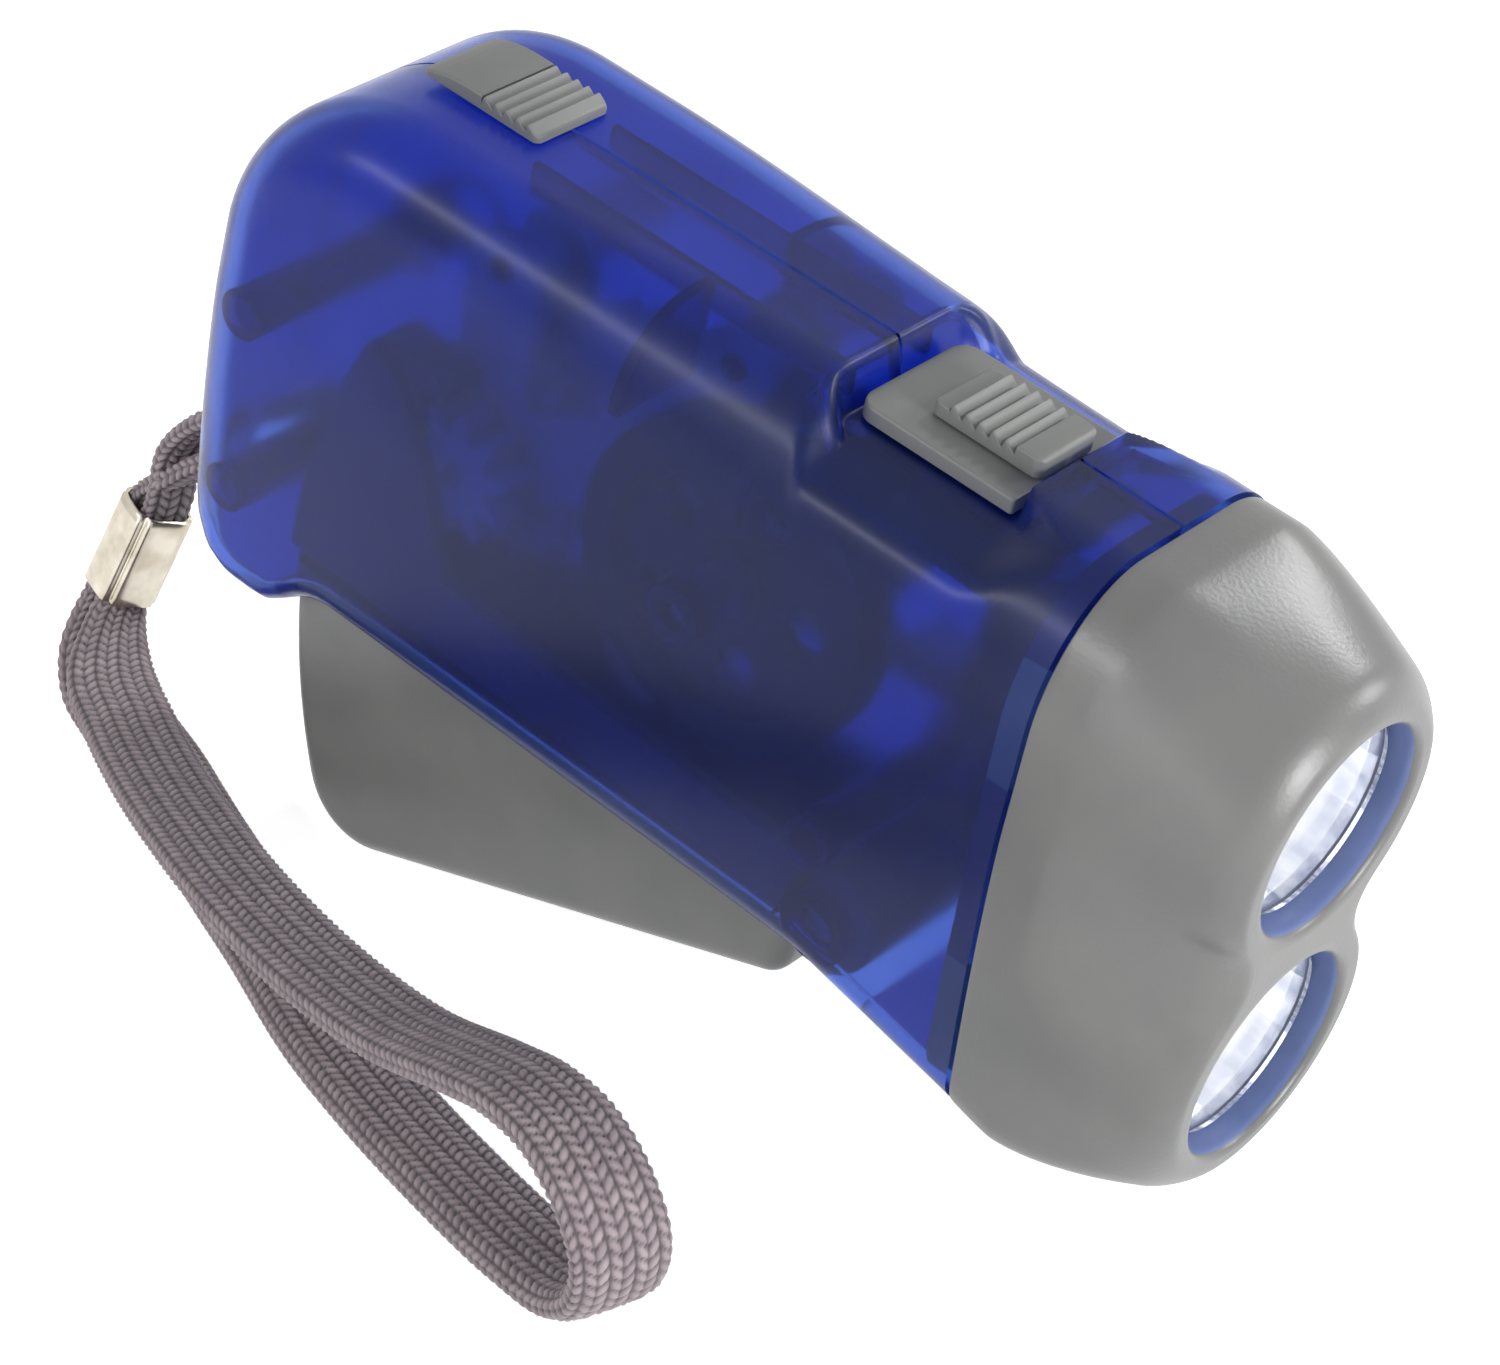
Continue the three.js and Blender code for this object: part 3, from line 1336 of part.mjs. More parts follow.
const strapRun = [
  [-111.4, -6.3, 5.6], [-109.4, -7.7, 3.2], [-105, -9.4, 1.8], [-97.5, -12.6, 1.5],
  [-88, -17.4, 1.4], [-78, -22.3, 1.4], [-69, -26.6, 1.4], [-57.1, -32.6, 1.4], [-46.2, -36.9, 1.4],
  [-34.6, -40.7, 1.4], [-25.5, -43.2, 1.4], [-19, -44.7, 2], [-15.4, -45.6, 4.6],
  [-14.4, -45.8, 8.6], [-16.6, -45.2, 12.6], [-21, -43.8, 14.9], [-26.5, -42.3, 15.1],
  [-32, -40.9, 13.8], [-44, -37.4, 10], [-57, -33.6, 8.4], [-69.4, -29.4, 8], [-80, -24.6, 7.2],
  [-90, -19.4, 6.2], [-99, -14.2, 5.8], [-105.2, -10.4, 6.6],
].map((point) => new THREE.Vector3(...point));

const loopOut = [[-104.6, -1, 25.4], [-101, -0.6, 29.2], [-96, -0.2, 31.6], [-91.2, 0, 33.5]];
const loopBack = [[-90, 0, 28.6], [-95, -0.2, 27.2], [-100.4, -0.7, 25.6], [-104.6, -1.2, 22.8]];

const strapRoute = [
  ferrulePoint(strapInside, -strandOff), ferrulePoint(strapMouth, -strandOff), ...strapRun,
  ferrulePoint(strapMouth, strandOff), ferrulePoint(strapInside, strandOff),
];

// A flat braid along a route: sizes gives its width and thickness at a share of its length.
function flatBraid(route, sizes, steps, side) {
  const curve = new THREE.CatmullRomCurve3(route, false, 'centripetal');
  const sectionSides = 8;
  const rings = Array.from({ length: steps + 1 }, (_, k) => {
    const share = k / steps;
    const centre = curve.getPointAt(share);
    const tangent = curve.getTangentAt(share);
    const thin = new THREE.Vector3().crossVectors(tangent, side).normalize();
    const wideWay = new THREE.Vector3().crossVectors(thin, tangent).normalize();
    const [width, thick] = sizes(share);
    return Array.from({ length: sectionSides }, (_u, i) => {
      const angle = (2 * Math.PI * (i + 0.5)) / sectionSides;
      const [c, s] = [Math.cos(angle), Math.sin(angle)];
      const across = (Math.sign(c) * Math.abs(c) ** 0.6 * width) / 2;
      const up = (Math.sign(s) * Math.abs(s) ** 0.6 * thick) / 2;
      return centre.clone().addScaledVector(wideWay, across).addScaledVector(thin, up);
    });
  });
  return loft(rings);
}

function wristStrap() {
  const sizes = (share) => {
    const open = smooth(Math.min(share, 1 - share), 0.012, 0.07);
    return [mix(crimpedWidth, strapWidth, open), mix(crimpedThick, strapThick, open)];
  };
  return flatBraid(strapRoute, sizes, 84, strapSide);
}

// The short loop: from the ferrule into the case, round the lower rear post and back.
function strapLoop(post) {
  const around = postRadius + gap + loopThick / 2 + loopSlack;
  const bend = arc([post.x, post.z], around, 95, -90, 8).map(([x, z]) => [x, 0, z]);
  const route = [
    ferrulePoint(loopInside, strandOff), ferrulePoint(loopMouth, strandOff),
    ...[...loopOut, ...bend, ...loopBack].map((point) => new THREE.Vector3(...point)),
    ferrulePoint(loopMouth, -strandOff), ferrulePoint(loopInside, -strandOff),
  ];
  return flatBraid(route, () => [crimpedWidth, loopThick], 44, strapSide);
}

// The crimped ferrule: a flattened tube with three creases along it.
function ferrule() {
  const across = new THREE.Vector3().crossVectors(ferruleThin, ferruleAxis).normalize();
  const sides = 24;
  const outline = (shrink) => Array.from({ length: sides }, (_, k) => {
    const angle = (2 * Math.PI * (k + 0.5)) / sides;
    const [c, s] = [Math.cos(angle), Math.sin(angle)];
    const crease = shrink > 0 ? 0 : ferruleCrease * Math.max(0, Math.cos(4 * angle - Math.PI)) ** 3;
    const size = (full, value) => (Math.sign(value) * Math.abs(value) ** 0.5 * (full / 2 - shrink - crease));
    return [size(ferruleWidth, c), size(ferruleThick, s)];
  });
  const ring = (points, share) => points.map(([a, b]) => ferrulePoint(share, b).addScaledVector(across, a));
  const outer = loft([ring(outline(0), 0), ring(outline(0), 0.5), ring(outline(0), 1)]);
  return cut(outer, loft([ring(outline(ferruleWall), -0.5), ring(outline(ferruleWall), 1.5)]));
}

// The assembly

function piece(name, body, look) {
  const material = new THREE.MeshStandardMaterial(look);
  const mesh = new THREE.Mesh(geometryOf(body), material);
  mesh.name = name;
  return mesh;
}

const torch = new THREE.Group();
torch.add(
  piece('case_near', nearHalf(), blueCase),
  piece('case_far', farHalf(), blueCase),
  piece('head_cover', headCover(), greyPlastic),
  piece('upper_lens', lens(upperLens), clear),
  piece('lower_lens', lens(lowerLens), clear),
  piece('upper_reflector', reflector(upperLens), chrome),
  piece('lower_reflector', reflector(lowerLens), chrome),
  piece('upper_led', diodeBody(upperLens), diode),
  piece('lower_led', diodeBody(lowerLens), diode),
  piece('led_board', ledBoard(), greenBoard),
  piece('trigger', triggerBody(), greyPlastic),
  piece('trigger_pin', triggerPin(), steel),
  piece('return_spring', returnSpring(), steel),
  piece('gear_plate_near', nearPlate(), darkPlastic),
  piece('gear_plate_far', farPlate(), darkPlastic),
  piece('input_pinion', inputPinion(), whiteGear),
  piece('ratchet_pawl', ratchetPawl(), brass),
  piece('drive_gear', driveGear(), whiteGear),
  piece('second_gear', secondGear(), whiteGear),
  piece('flywheel', flywheel(), darkPlastic),
  piece('ring_magnet', ringMagnet(), magnet),
  piece('input_axle', axle(inputAxis, level.flywheelNear, level.farPlateFar), steel),
  piece('second_axle', axle(secondAxis, level.nearPlate, level.farPlateFar), steel),
  piece('flywheel_axle', axle(flywheelAxis, gap - axleEnd(), axleEnd() - gap), steel),
  piece('stator_core', statorCore(), steel),
  piece('bobbin', bobbin(), darkPlastic),
  piece('winding', winding(), copper),
  piece('circuit_board', circuitBoard(), greenBoard),
  piece('switch_body', switchBody(), steel),
  piece('switch_plate', switchPlate(), greyPlastic),
  piece('switch_knob', switchKnob(), greyPlastic),
  piece('lock_button', lockButton(), greyPlastic),
  piece('cell_holder', cellHolder(), darkPlastic),
  piece('coin_cell', coinCell(), nickel),
  piece('cell_contact', cellContact(), brass),
  ...Object.entries(screwSpots).map(([name, spot]) => piece(name, screw(spot), steel)),
);

// The lowest height of a mesh when the torch is tilted nose down.
function lowest(mesh, degrees) {
  const place = mesh.geometry.getAttribute('position');
  const [c, s] = [Math.cos(radians(degrees)), Math.sin(radians(degrees))];
  let low = Infinity;
  for (let i = 0; i < place.count; i += 1) low = Math.min(low, c * place.getZ(i) - s * place.getX(i));
  return low;
}

// The tilt at which the trigger and the head touch the table together.
function standingTilt() {
  const [trigger, head] = ['trigger', 'head_cover'].map((name) => torch.getObjectByName(name));
  let [less, more] = tiltRange;
  for (let k = 0; k < tiltSteps; k += 1) {
    const middle = (less + more) / 2;
    [less, more] = lowest(trigger, middle) < lowest(head, middle) ? [middle, more] : [less, middle];
  }
  return (less + more) / 2;
}

const tilt = standingTilt();
const floor = lowest(torch.getObjectByName('trigger'), tilt);
torch.rotation.y = radians(tilt);
torch.position.z = -floor;

const rearPost = screwSpots.screw_rear_lower;
const postPlace = new THREE.Vector3(rearPost[0], 0, rearPost[1])
  .applyAxisAngle(axisY, radians(tilt)).add(torch.position);
const strap = new THREE.Group();
strap.add(
  piece('strap_loop', strapLoop(postPlace), braid),
  piece('ferrule', ferrule(), nickel),
  piece('wrist_strap', wristStrap(), braid),
);

// The origin lies under the middle of the torch, without its strap.
const box = new THREE.Box3().setFromObject(torch, true);
const middle = box.getCenter(new THREE.Vector3());
const flashlight = new THREE.Group();
flashlight.add(torch, strap);
flashlight.position.set(-middle.x, -middle.y, 0);
console.log(`tilt ${tilt.toFixed(3)} degrees, floor ${floor.toFixed(3)} mm`);
console.log(`shift ${middle.x.toFixed(3)} ${middle.y.toFixed(3)} mm`);
console.log(`input axis ${inputAxis.map((v) => v.toFixed(3))}`);
console.log(`second axis ${secondAxis.map((v) => v.toFixed(3))}`);

export default flashlight;
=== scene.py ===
# %% [markdown]
# A squeeze-powered torch with two lenses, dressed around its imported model.
# The real thing is a translucent blue case in two halves, a grey head with two lenses, a grey trigger that
# is squeezed to spin a small generator, two grey sliding buttons and a braided wrist strap.
# Each cell makes one of those pieces. Shapes are worked out in millimetres in the torch's own frame,
# where x runs along the beam and z is up when the torch lies level, and then stood up as the model stands.

# %% Load the frame
import math
from contextlib import contextmanager

import bmesh
import bpy
import numpy as np
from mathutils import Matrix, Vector


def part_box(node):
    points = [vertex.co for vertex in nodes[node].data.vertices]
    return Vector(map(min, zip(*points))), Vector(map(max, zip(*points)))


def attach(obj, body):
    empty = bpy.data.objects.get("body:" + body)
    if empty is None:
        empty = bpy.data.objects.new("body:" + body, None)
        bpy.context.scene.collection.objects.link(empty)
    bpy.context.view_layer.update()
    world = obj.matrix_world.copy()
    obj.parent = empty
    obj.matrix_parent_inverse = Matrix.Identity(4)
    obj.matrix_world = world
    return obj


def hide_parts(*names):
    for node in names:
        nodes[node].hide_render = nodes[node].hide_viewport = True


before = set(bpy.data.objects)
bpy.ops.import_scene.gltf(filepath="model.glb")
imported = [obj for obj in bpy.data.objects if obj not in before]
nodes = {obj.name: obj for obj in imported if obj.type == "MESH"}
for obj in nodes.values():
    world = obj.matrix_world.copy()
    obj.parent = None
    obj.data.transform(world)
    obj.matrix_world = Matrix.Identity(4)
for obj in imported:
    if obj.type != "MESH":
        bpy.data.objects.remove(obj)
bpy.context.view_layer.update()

MM = 0.001

# %% [markdown]
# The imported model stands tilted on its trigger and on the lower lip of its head. Two round pieces, whose
# places in the torch's own frame are known, give the turn and the shift between the two frames.

# %% From the torch's frame to the standing frame
PIVOT = np.array([-15.0, -43.0])
FLYWHEEL_AXIS = np.array([-32.5, -22.5])


def side_centre(node):
    """Middle of a node's box in the side view, x and z, in millimetres."""
    low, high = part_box(node)
    return np.array([low.x + high.x, low.z + high.z]) / 2 / MM


pin_place, wheel_place = side_centre("trigger_pin"), side_centre("flywheel_axle")
own, stood = FLYWHEEL_AXIS - PIVOT, wheel_place - pin_place
TILT = math.atan2(own[1], own[0]) - math.atan2(stood[1], stood[0])
TURN = np.array([[math.cos(TILT), math.sin(TILT)], [-math.sin(TILT), math.cos(TILT)]])
SHIFT = pin_place - TURN @ PIVOT
print(f"tilt {math.degrees(TILT):.3f} degrees, shift {SHIFT[0]:.3f}, {SHIFT[1]:.3f} mm")


def stand(points):
    """Torch frame to row frame: the side view turned by the tilt and shifted, millimetres to metres."""
    points = np.asarray(points, float)
    side = points[..., [0, 2]] @ TURN.T + SHIFT
    return np.stack([side[..., 0], points[..., 1], side[..., 1]], axis=-1) * MM


# %% [markdown]
# The camera stands in front of the near side and looks down at the torch, with a long lens. Its place was
# solved from the corners of the photograph's object.

# %% Camera
CAMERA_PLACE = Vector((0.2089, -0.2505, 0.2152))
CAMERA_LOOK = Vector((-0.558, 0.661, -0.501))
camera_data = bpy.data.cameras.new("camera")
camera_data.lens = 114.6
camera_data.sensor_width = 36
camera = bpy.data.objects.new("camera", camera_data)
camera.location = CAMERA_PLACE
camera.rotation_euler = CAMERA_LOOK.to_track_quat("-Z", "Y").to_euler()
bpy.context.scene.collection.objects.link(camera)
bpy.context.scene.camera = camera
bpy.context.scene.view_settings.view_transform = "Standard"
print(f"camera: {camera_data.lens} mm lens, {CAMERA_PLACE.length:.3f} m from the torch's middle")


# %% [markdown]
# All shapes are sums of a few kinds of line. These helpers mix, measure and round such lines; plain numpy
# on whole arrays keeps each formula short.

# %% Helpers: lines
SAME_PLACE, FINE_LINE, ROUND_STEP = 1e-6, 0.05, 4.0


def smoothstep(value, low, high):
    """0 below low, 1 above high, and an even S between them."""
    share = np.clip((value - low) / (high - low), 0, 1)
    return share * share * (3 - 2 * share)


def mix(low, high, share):
    """Straight line from low to high."""
    return low + (high - low) * share


def unit(vector):
    """A vector, or each row of vectors, at length one."""
    return vector / np.linalg.norm(vector, axis=-1, keepdims=True)


def polar(centre, radius, degrees):
    """Points at an angle round a centre, turning from the first axis to the second."""
    turn = np.radians(degrees)
    return np.stack([centre[0] + radius * np.cos(turn), centre[1] + radius * np.sin(turn)], axis=-1)


def arc(centre, radius, start, end, steps):
    """Evenly spaced points along an arc."""
    return polar(centre, radius, np.linspace(start, end, steps + 1))


def lengths(line):
    """How far along a line of points each of them lies."""
    return np.concatenate([[0], np.cumsum(np.linalg.norm(np.diff(line, axis=0), axis=1))])


def pick_from(line, travel, wanted):
    """The line's values at the wanted lengths, straight between its points."""
    return np.stack([np.interp(wanted, travel, column) for column in line.T], axis=-1)


def round_path(corners):
    """A line through (across, up, radius) corners, with an arc of that radius at each inner one."""
    place = np.array([corner[:2] for corner in corners], float)
    line = [place[:1]]
    for before, here, after, corner in zip(place, place[1:], place[2:], corners[1:]):
        radius = corner[2]
        before, after = unit(before - here), unit(after - here)
        half = math.acos(np.clip(before @ after, -1, 1)) / 2
        middle = here + unit(before + after) * radius / math.sin(half)
        a, b = (here + way * radius / math.tan(half) - middle for way in (before, after))
        sweep = math.degrees(math.atan2(a[0] * b[1] - a[1] * b[0], a @ b))
        first = math.degrees(math.atan2(a[1], a[0]))
        line.append(arc(middle, radius, first, first + sweep, max(2, math.ceil(abs(sweep) / ROUND_STEP))))
    return np.concatenate(line + [place[-1:]])


def resample(line, spacing):
    """The line with points at the spacing that the function gives for each place; also its directions."""
    line = line[np.diff(lengths(line), prepend=-1) > SAME_PLACE]
    travel = lengths(line)
    fine = np.linspace(0, travel[-1], int(travel[-1] / FINE_LINE))
    dense = pick_from(line, travel, fine)
    weight = np.concatenate([[0], np.cumsum(np.diff(fine) / spacing(dense[1:]))])
    pick = np.interp(np.linspace(0, weight[-1], int(round(weight[-1])) + 1), weight, fine)
    return pick_from(dense, fine, pick), unit(pick_from(np.gradient(dense, axis=0), fine, pick))


# %% [markdown]
# A surface is a grid of points, rows by columns, and a piece is one or more such surfaces whose shared
# edges are welded. Skins get their wall afterwards, as the moulded parts have one thickness throughout.

# %% Helpers: surfaces and pieces
WELD_DISTANCE, SHARP_ANGLE = 2e-3, 35


def grid_faces(rows, columns, wrap=False):
    """Quads between neighbouring rows and columns of a grid of points, closed round the columns if wrap."""
    index = np.arange(rows * columns).reshape(rows, columns)
    right = np.roll(index, -1, axis=1)
    quads = np.stack([index[:-1], right[:-1], right[1:], index[1:]], axis=-1)
    return (quads if wrap else quads[:, :-1]).reshape(-1, 4).tolist()


def closed_grid(rows, columns):
    """The faces of a grid that is closed round its columns and at both ends."""
    last = (rows - 1) * columns
    ends = [list(range(columns))[::-1], list(range(last, last + columns))]
    return grid_faces(rows, columns, wrap=True) + ends


def prism(outline, low, high, axis="y"):
    """An outline drawn out along an axis of the torch's frame, as points and faces."""
    ends = [np.insert(np.asarray(outline, float), "xyz".index(axis), level, axis=1) for level in (low, high)]
    return np.concatenate(ends), closed_grid(2, len(outline))


def spun(centre, profile, sides, axis="y"):
    """A closed profile of (radius, along) points turned round an axis of the torch's frame."""
    profile = np.asarray(profile, float)
    turn = np.linspace(0, 2 * np.pi, sides, endpoint=False)
    radius, along = profile[:, :1], np.repeat(profile[:, 1:], sides, axis=1)
    parts = [centre[0] + radius * np.cos(turn), centre[1] + radius * np.sin(turn)]
    parts.insert("xyz".index(axis), along)
    return np.stack(parts, axis=-1), grid_faces(len(profile), sides, wrap=True)


@contextmanager
def editing(mesh):
    """The mesh in a form that can be cut and joined; it is written back at the end."""
    work = bmesh.new()
    work.from_mesh(mesh)
    yield work
    work.to_mesh(mesh)
    work.free()


def weld(mesh):
    """Merges doubled points and turns the faces outwards."""
    with editing(mesh) as work:
        bmesh.ops.remove_doubles(work, verts=work.verts, dist=WELD_DISTANCE)
        bmesh.ops.recalc_face_normals(work, faces=work.faces)


def face_outwards(work, *way):
    """Turns an open skin so that its face farthest along a direction looks that way."""
    way = Vector(way)
    outermost = max(work.faces, key=lambda face: way.dot(face.calc_center_median()))
    if way.dot(outermost.normal) < 0:
        bmesh.ops.reverse_faces(work, faces=work.faces)


def smooth(mesh, sharp=SHARP_ANGLE):
    """Smooth shading, with edges sharper than the angle kept."""
    mesh.polygons.foreach_set("use_smooth", np.ones(len(mesh.polygons), bool))
    mesh.set_sharp_from_angle(angle=math.radians(sharp))


def new_piece(name, *surfaces, sharp=SHARP_ANGLE, tidy=True):
    """A mesh object from (points in millimetres, faces) pairs, smooth but for edges sharper than sharp."""
    points, faces, count = [], [], 0
    for place, own_faces in surfaces:
        points.append(np.asarray(place, float).reshape(-1, 3))
        faces += [[corner + count for corner in face] for face in own_faces]
        count += len(points[-1])
    mesh = bpy.data.meshes.new(name)
    mesh.from_pydata(np.concatenate(points).tolist(), [], faces)
    if tidy:
        weld(mesh)
    smooth(mesh, sharp)
    piece = bpy.data.objects.new(name, mesh)
    bpy.context.scene.collection.objects.link(piece)
    return piece


def thicken(piece, thickness):
    """Gives a skin its wall, inwards, and works it into the mesh."""
    wall = piece.modifiers.new("wall", "SOLIDIFY")
    wall.thickness, wall.offset, wall.use_even_offset = thickness, -1, False
    graph = bpy.context.evaluated_depsgraph_get()
    mesh = bpy.data.meshes.new_from_object(piece.evaluated_get(graph))
    piece.modifiers.clear()
    piece.data = mesh
    mesh.name = piece.name
    weld(mesh)
    smooth(mesh)


def settle(piece, body, material, *replaced, place=stand):
    """Puts a finished piece in the row frame; gives it its material and its body, and hides the nodes it stands for.
    """
    points = np.empty(len(piece.data.vertices) * 3)
    piece.data.vertices.foreach_get("co", points)
    piece.data.vertices.foreach_set("co", place(points.reshape(-1, 3)).ravel())
    piece.data.update()
    piece.data.materials.clear()
    piece.data.materials.append(material)
    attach(piece, body)
    if replaced:
        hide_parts(*replaced)
    print(f"{piece.name}: {len(piece.data.polygons)} faces on {body}")


# %% [markdown]
# Finishes. Each is a small node graph around one Principled shader: two close shades mixed by noise, a
# fine bump for the moulding's grain, and a little change in roughness, so that no surface is one flat value.
# The blue plastic is a thin, lightly frosted wall: it blurs what lies behind it but hardly bends it, so its
# IOR is low, and a rough coat on top carries the soft highlights.


# %% Materials
def set_inputs(node, **values):
    """Sets a shader node's inputs; an underscore stands for a space in an input's name."""
    for name, value in values.items():
        node.inputs[name.replace("_", " ")].default_value = value


def add_node(tree, kind, **values):
    """A new shader node with these values on its inputs."""
    node = tree.nodes.new("ShaderNode" + kind)
    set_inputs(node, **values)
    return node


def shade(name, dark, light, rough, cloud=90, grain=2600, rough_range=0.06, bump=0.15, bump_depth=0.00006, **sockets):
    """A Principled material whose colour drifts between two shades, with grain and uneven gloss.

    colour = mix(dark, light, cloudy noise); roughness = rough +- rough_range * noise; bump = grain noise.
    """
    material = bpy.data.materials.new(name)
    material.use_nodes = True
    tree, link = material.node_tree, material.node_tree.links.new
    shader = tree.nodes["Principled BSDF"]
    set_inputs(shader, **sockets)
    place = add_node(tree, "TexCoord").outputs["Object"]
    clouds = add_node(tree, "TexNoise", Scale=cloud, Detail=3)
    tint = add_node(tree, "ValToRGB")
    for stop, position, colour in zip(tint.color_ramp.elements, (0.35, 0.65), (dark, light)):
        stop.position, stop.color = position, (*colour, 1)
    gloss = add_node(tree, "MapRange", To_Min=rough - rough_range, To_Max=rough + rough_range)
    grains = add_node(tree, "TexNoise", Scale=grain, Detail=2)
    relief = add_node(tree, "Bump", Strength=bump, Distance=bump_depth)
    link(place, clouds.inputs["Vector"])
    link(clouds.outputs["Fac"], tint.inputs["Fac"])
    link(tint.outputs["Color"], shader.inputs["Base Color"])
    link(clouds.outputs["Fac"], gloss.inputs["Value"])
    link(gloss.outputs["Result"], shader.inputs["Roughness"])
    link(place, grains.inputs["Vector"])
    link(grains.outputs["Fac"], relief.inputs["Height"])
    link(relief.outputs["Normal"], shader.inputs["Normal"])
    return material


blue_shell = shade(
    "blue_shell", (0.036, 0.092, 0.47), (0.05, 0.115, 0.53), 0.24, rough_range=0.03,
    Transmission_Weight=0.93, IOR=1.17, Specular_IOR_Level=0.1, Coat_Weight=0.3, Coat_Roughness=0.34,
)
grey_shell = shade("grey_shell", (0.165, 0.168, 0.165), (0.19, 0.192, 0.187), 0.33, bump=0.3)
grey_plain = shade("grey_plain", (0.165, 0.172, 0.168), (0.19, 0.196, 0.19), 0.42, bump=0.2)
# painted light: the aperture walls are the head's grey plastic, coloured blue-lilac here to stand for the diodes'
# light falling on them
aperture_painted_light = shade("aperture_painted_light", (0.14, 0.2, 0.42), (0.19, 0.25, 0.5), 0.35)
clear_lens = shade(
    "clear_lens", (0.95, 0.96, 0.99), (0.98, 0.985, 1.0), 0.05, rough_range=0.02, bump=0.02,
    Transmission_Weight=1.0, IOR=1.49,
)
# painted glow: the cup is a metal mirror and no lamp, but a faint bluish emission makes it glow
mirror_painted_glow = shade(
    "mirror_painted_glow", (0.5, 0.53, 0.64), (0.95, 0.96, 1.0), 0.08, rough_range=0.03, bump=0.05, cloud=500,
    Metallic=1.0, Emission_Color=(0.8, 0.86, 1, 1), Emission_Strength=0.12,
)
nickel = shade("nickel", (0.5, 0.45, 0.36), (0.68, 0.63, 0.54), 0.24, grain=900, cloud=400, Metallic=1.0)
steel = shade("steel", (0.42, 0.42, 0.43), (0.55, 0.55, 0.56), 0.3, Metallic=1.0)
brass = shade("brass", (0.5, 0.36, 0.14), (0.6, 0.44, 0.2), 0.3, Metallic=1.0)
copper = shade("copper", (0.5, 0.2, 0.08), (0.62, 0.27, 0.12), 0.3, Metallic=1.0)
gear_white = shade("gear_white", (0.55, 0.54, 0.48), (0.65, 0.64, 0.58), 0.45)
black_plastic = shade("black_plastic", (0.012, 0.012, 0.015), (0.022, 0.022, 0.026), 0.4)
magnet_grey = shade("magnet_grey", (0.05, 0.05, 0.055), (0.08, 0.08, 0.085), 0.45)
board_green = shade("board_green", (0.012, 0.1, 0.03), (0.02, 0.15, 0.05), 0.4)
glow = shade(
    "glow", (0.9, 0.93, 1.0), (1.0, 1.0, 1.0), 0.2, Emission_Color=(0.86, 0.9, 1, 1), Emission_Strength=1.6)
print("materials:", len(bpy.data.materials))

# %% [markdown]
# The mechanism is seen only dimly through the case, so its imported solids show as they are, each in the
# finish of its stuff: plastic gears and plates, steel axles and screws, brass springs, green boards.

# %% Finishes of the pieces inside
FINISHES = [
    (gear_white, "gear_plate_near gear_plate_far input_pinion drive_gear second_gear"),
    (steel, "input_axle second_axle flywheel_axle trigger_pin return_spring stator_core switch_body"),
    (steel, "screw_rear_upper screw_rear_lower screw_front"),
    (black_plastic, "flywheel bobbin cell_holder"),
    (brass, "ratchet_pawl cell_contact"),
    (board_green, "circuit_board led_board"),
    (magnet_grey, "ring_magnet"),
    (copper, "winding"),
    (nickel, "coin_cell"),
]
for finish, names in FINISHES:
    for name in names.split():
        nodes[name].data.materials.clear()
        nodes[name].data.materials.append(finish)
        nodes[name].material_slots[0].link = "OBJECT"
        nodes[name].material_slots[0].material = finish
print("finished nodes:", sum(len(names.split()) for _, names in FINISHES))

# %% [markdown]
# The case is one smooth skin on each side of a flat seam. Its side view is a line with round corners; at
# each place on that line the skin starts at the seam, runs flat, rounds over the edge and then crosses the
# side to the middle. The same four sizes that shape the solid's edges shape these.

# %% Case: sizes
CASE_LENGTH, CASE_HEIGHT = 86.4, 51.5
CASE_REAR_HALF, CASE_FRONT_HALF = 14.8, 14.7
WALL = 1.6
SEAM_HALF_GAP = 0.15
SHOULDER, NECK = (7.2, 6.8), (12.0, 9.4)
NECK_END, NECK_START = 18, 60
REAR_ROUND, BOTTOM_ROUND = 6, 3
TAPER_START, TAPER_SHARE, TAPER_POWER = 21, 0.225, 1.4
CASE_CORNER_SHARES = [
    (0.15, 0, 0), (-0.1, 0.004, 0.1), (-0.33, 0.017, 0.2), (-0.968, 0.009, 0.33), (-1, -0.99, 0.145),
    (-0.878, -0.99, 0.1), (-0.812, -0.905, 0.16), (-0.2, -0.918, 0.2), (0, -1, 0.16), (0.15, -1.04, 0),
]


def half_width(x, z):
    """Half of the case's width: a slow change along it, less a taper towards the bottom."""
    widest = mix(CASE_FRONT_HALF, CASE_REAR_HALF, smoothstep(-x, 0, NECK_START))
    low = np.maximum(0, (-z - TAPER_START) / (CASE_HEIGHT - TAPER_START))
    return widest * (1 - TAPER_SHARE * low**TAPER_POWER)


def edge_rounding(x, normal):
    """How far the edge rounds inwards and sideways, from the squares of the normal's parts."""
    neck = 1 - smoothstep(-x, NECK_END, NECK_START)
    top, bottom, rear = (np.maximum(0, v) ** 2 for v in (normal[:, 1], -normal[:, 1], -normal[:, 0]))
    drop, inset = (top * mix(SHOULDER[k], NECK[k], neck) for k in (0, 1))
    rest = bottom * BOTTOM_ROUND + rear * REAR_ROUND
    return drop + rest, inset + rest


print(f"case: {CASE_LENGTH} mm long, {CASE_HEIGHT} mm high, {2 * half_width(-CASE_LENGTH, 0):.1f} mm wide at its rear")

# %% [markdown]
# The switch lies in a seat that is pressed into the top. In the mould it is one smooth sinking, so the skin
# is made without it and then lowered by a height field: a floor, two walls that rise from it, and a rounded
# minimum where they meet the skin. That leaves no seam between the seat and the case.

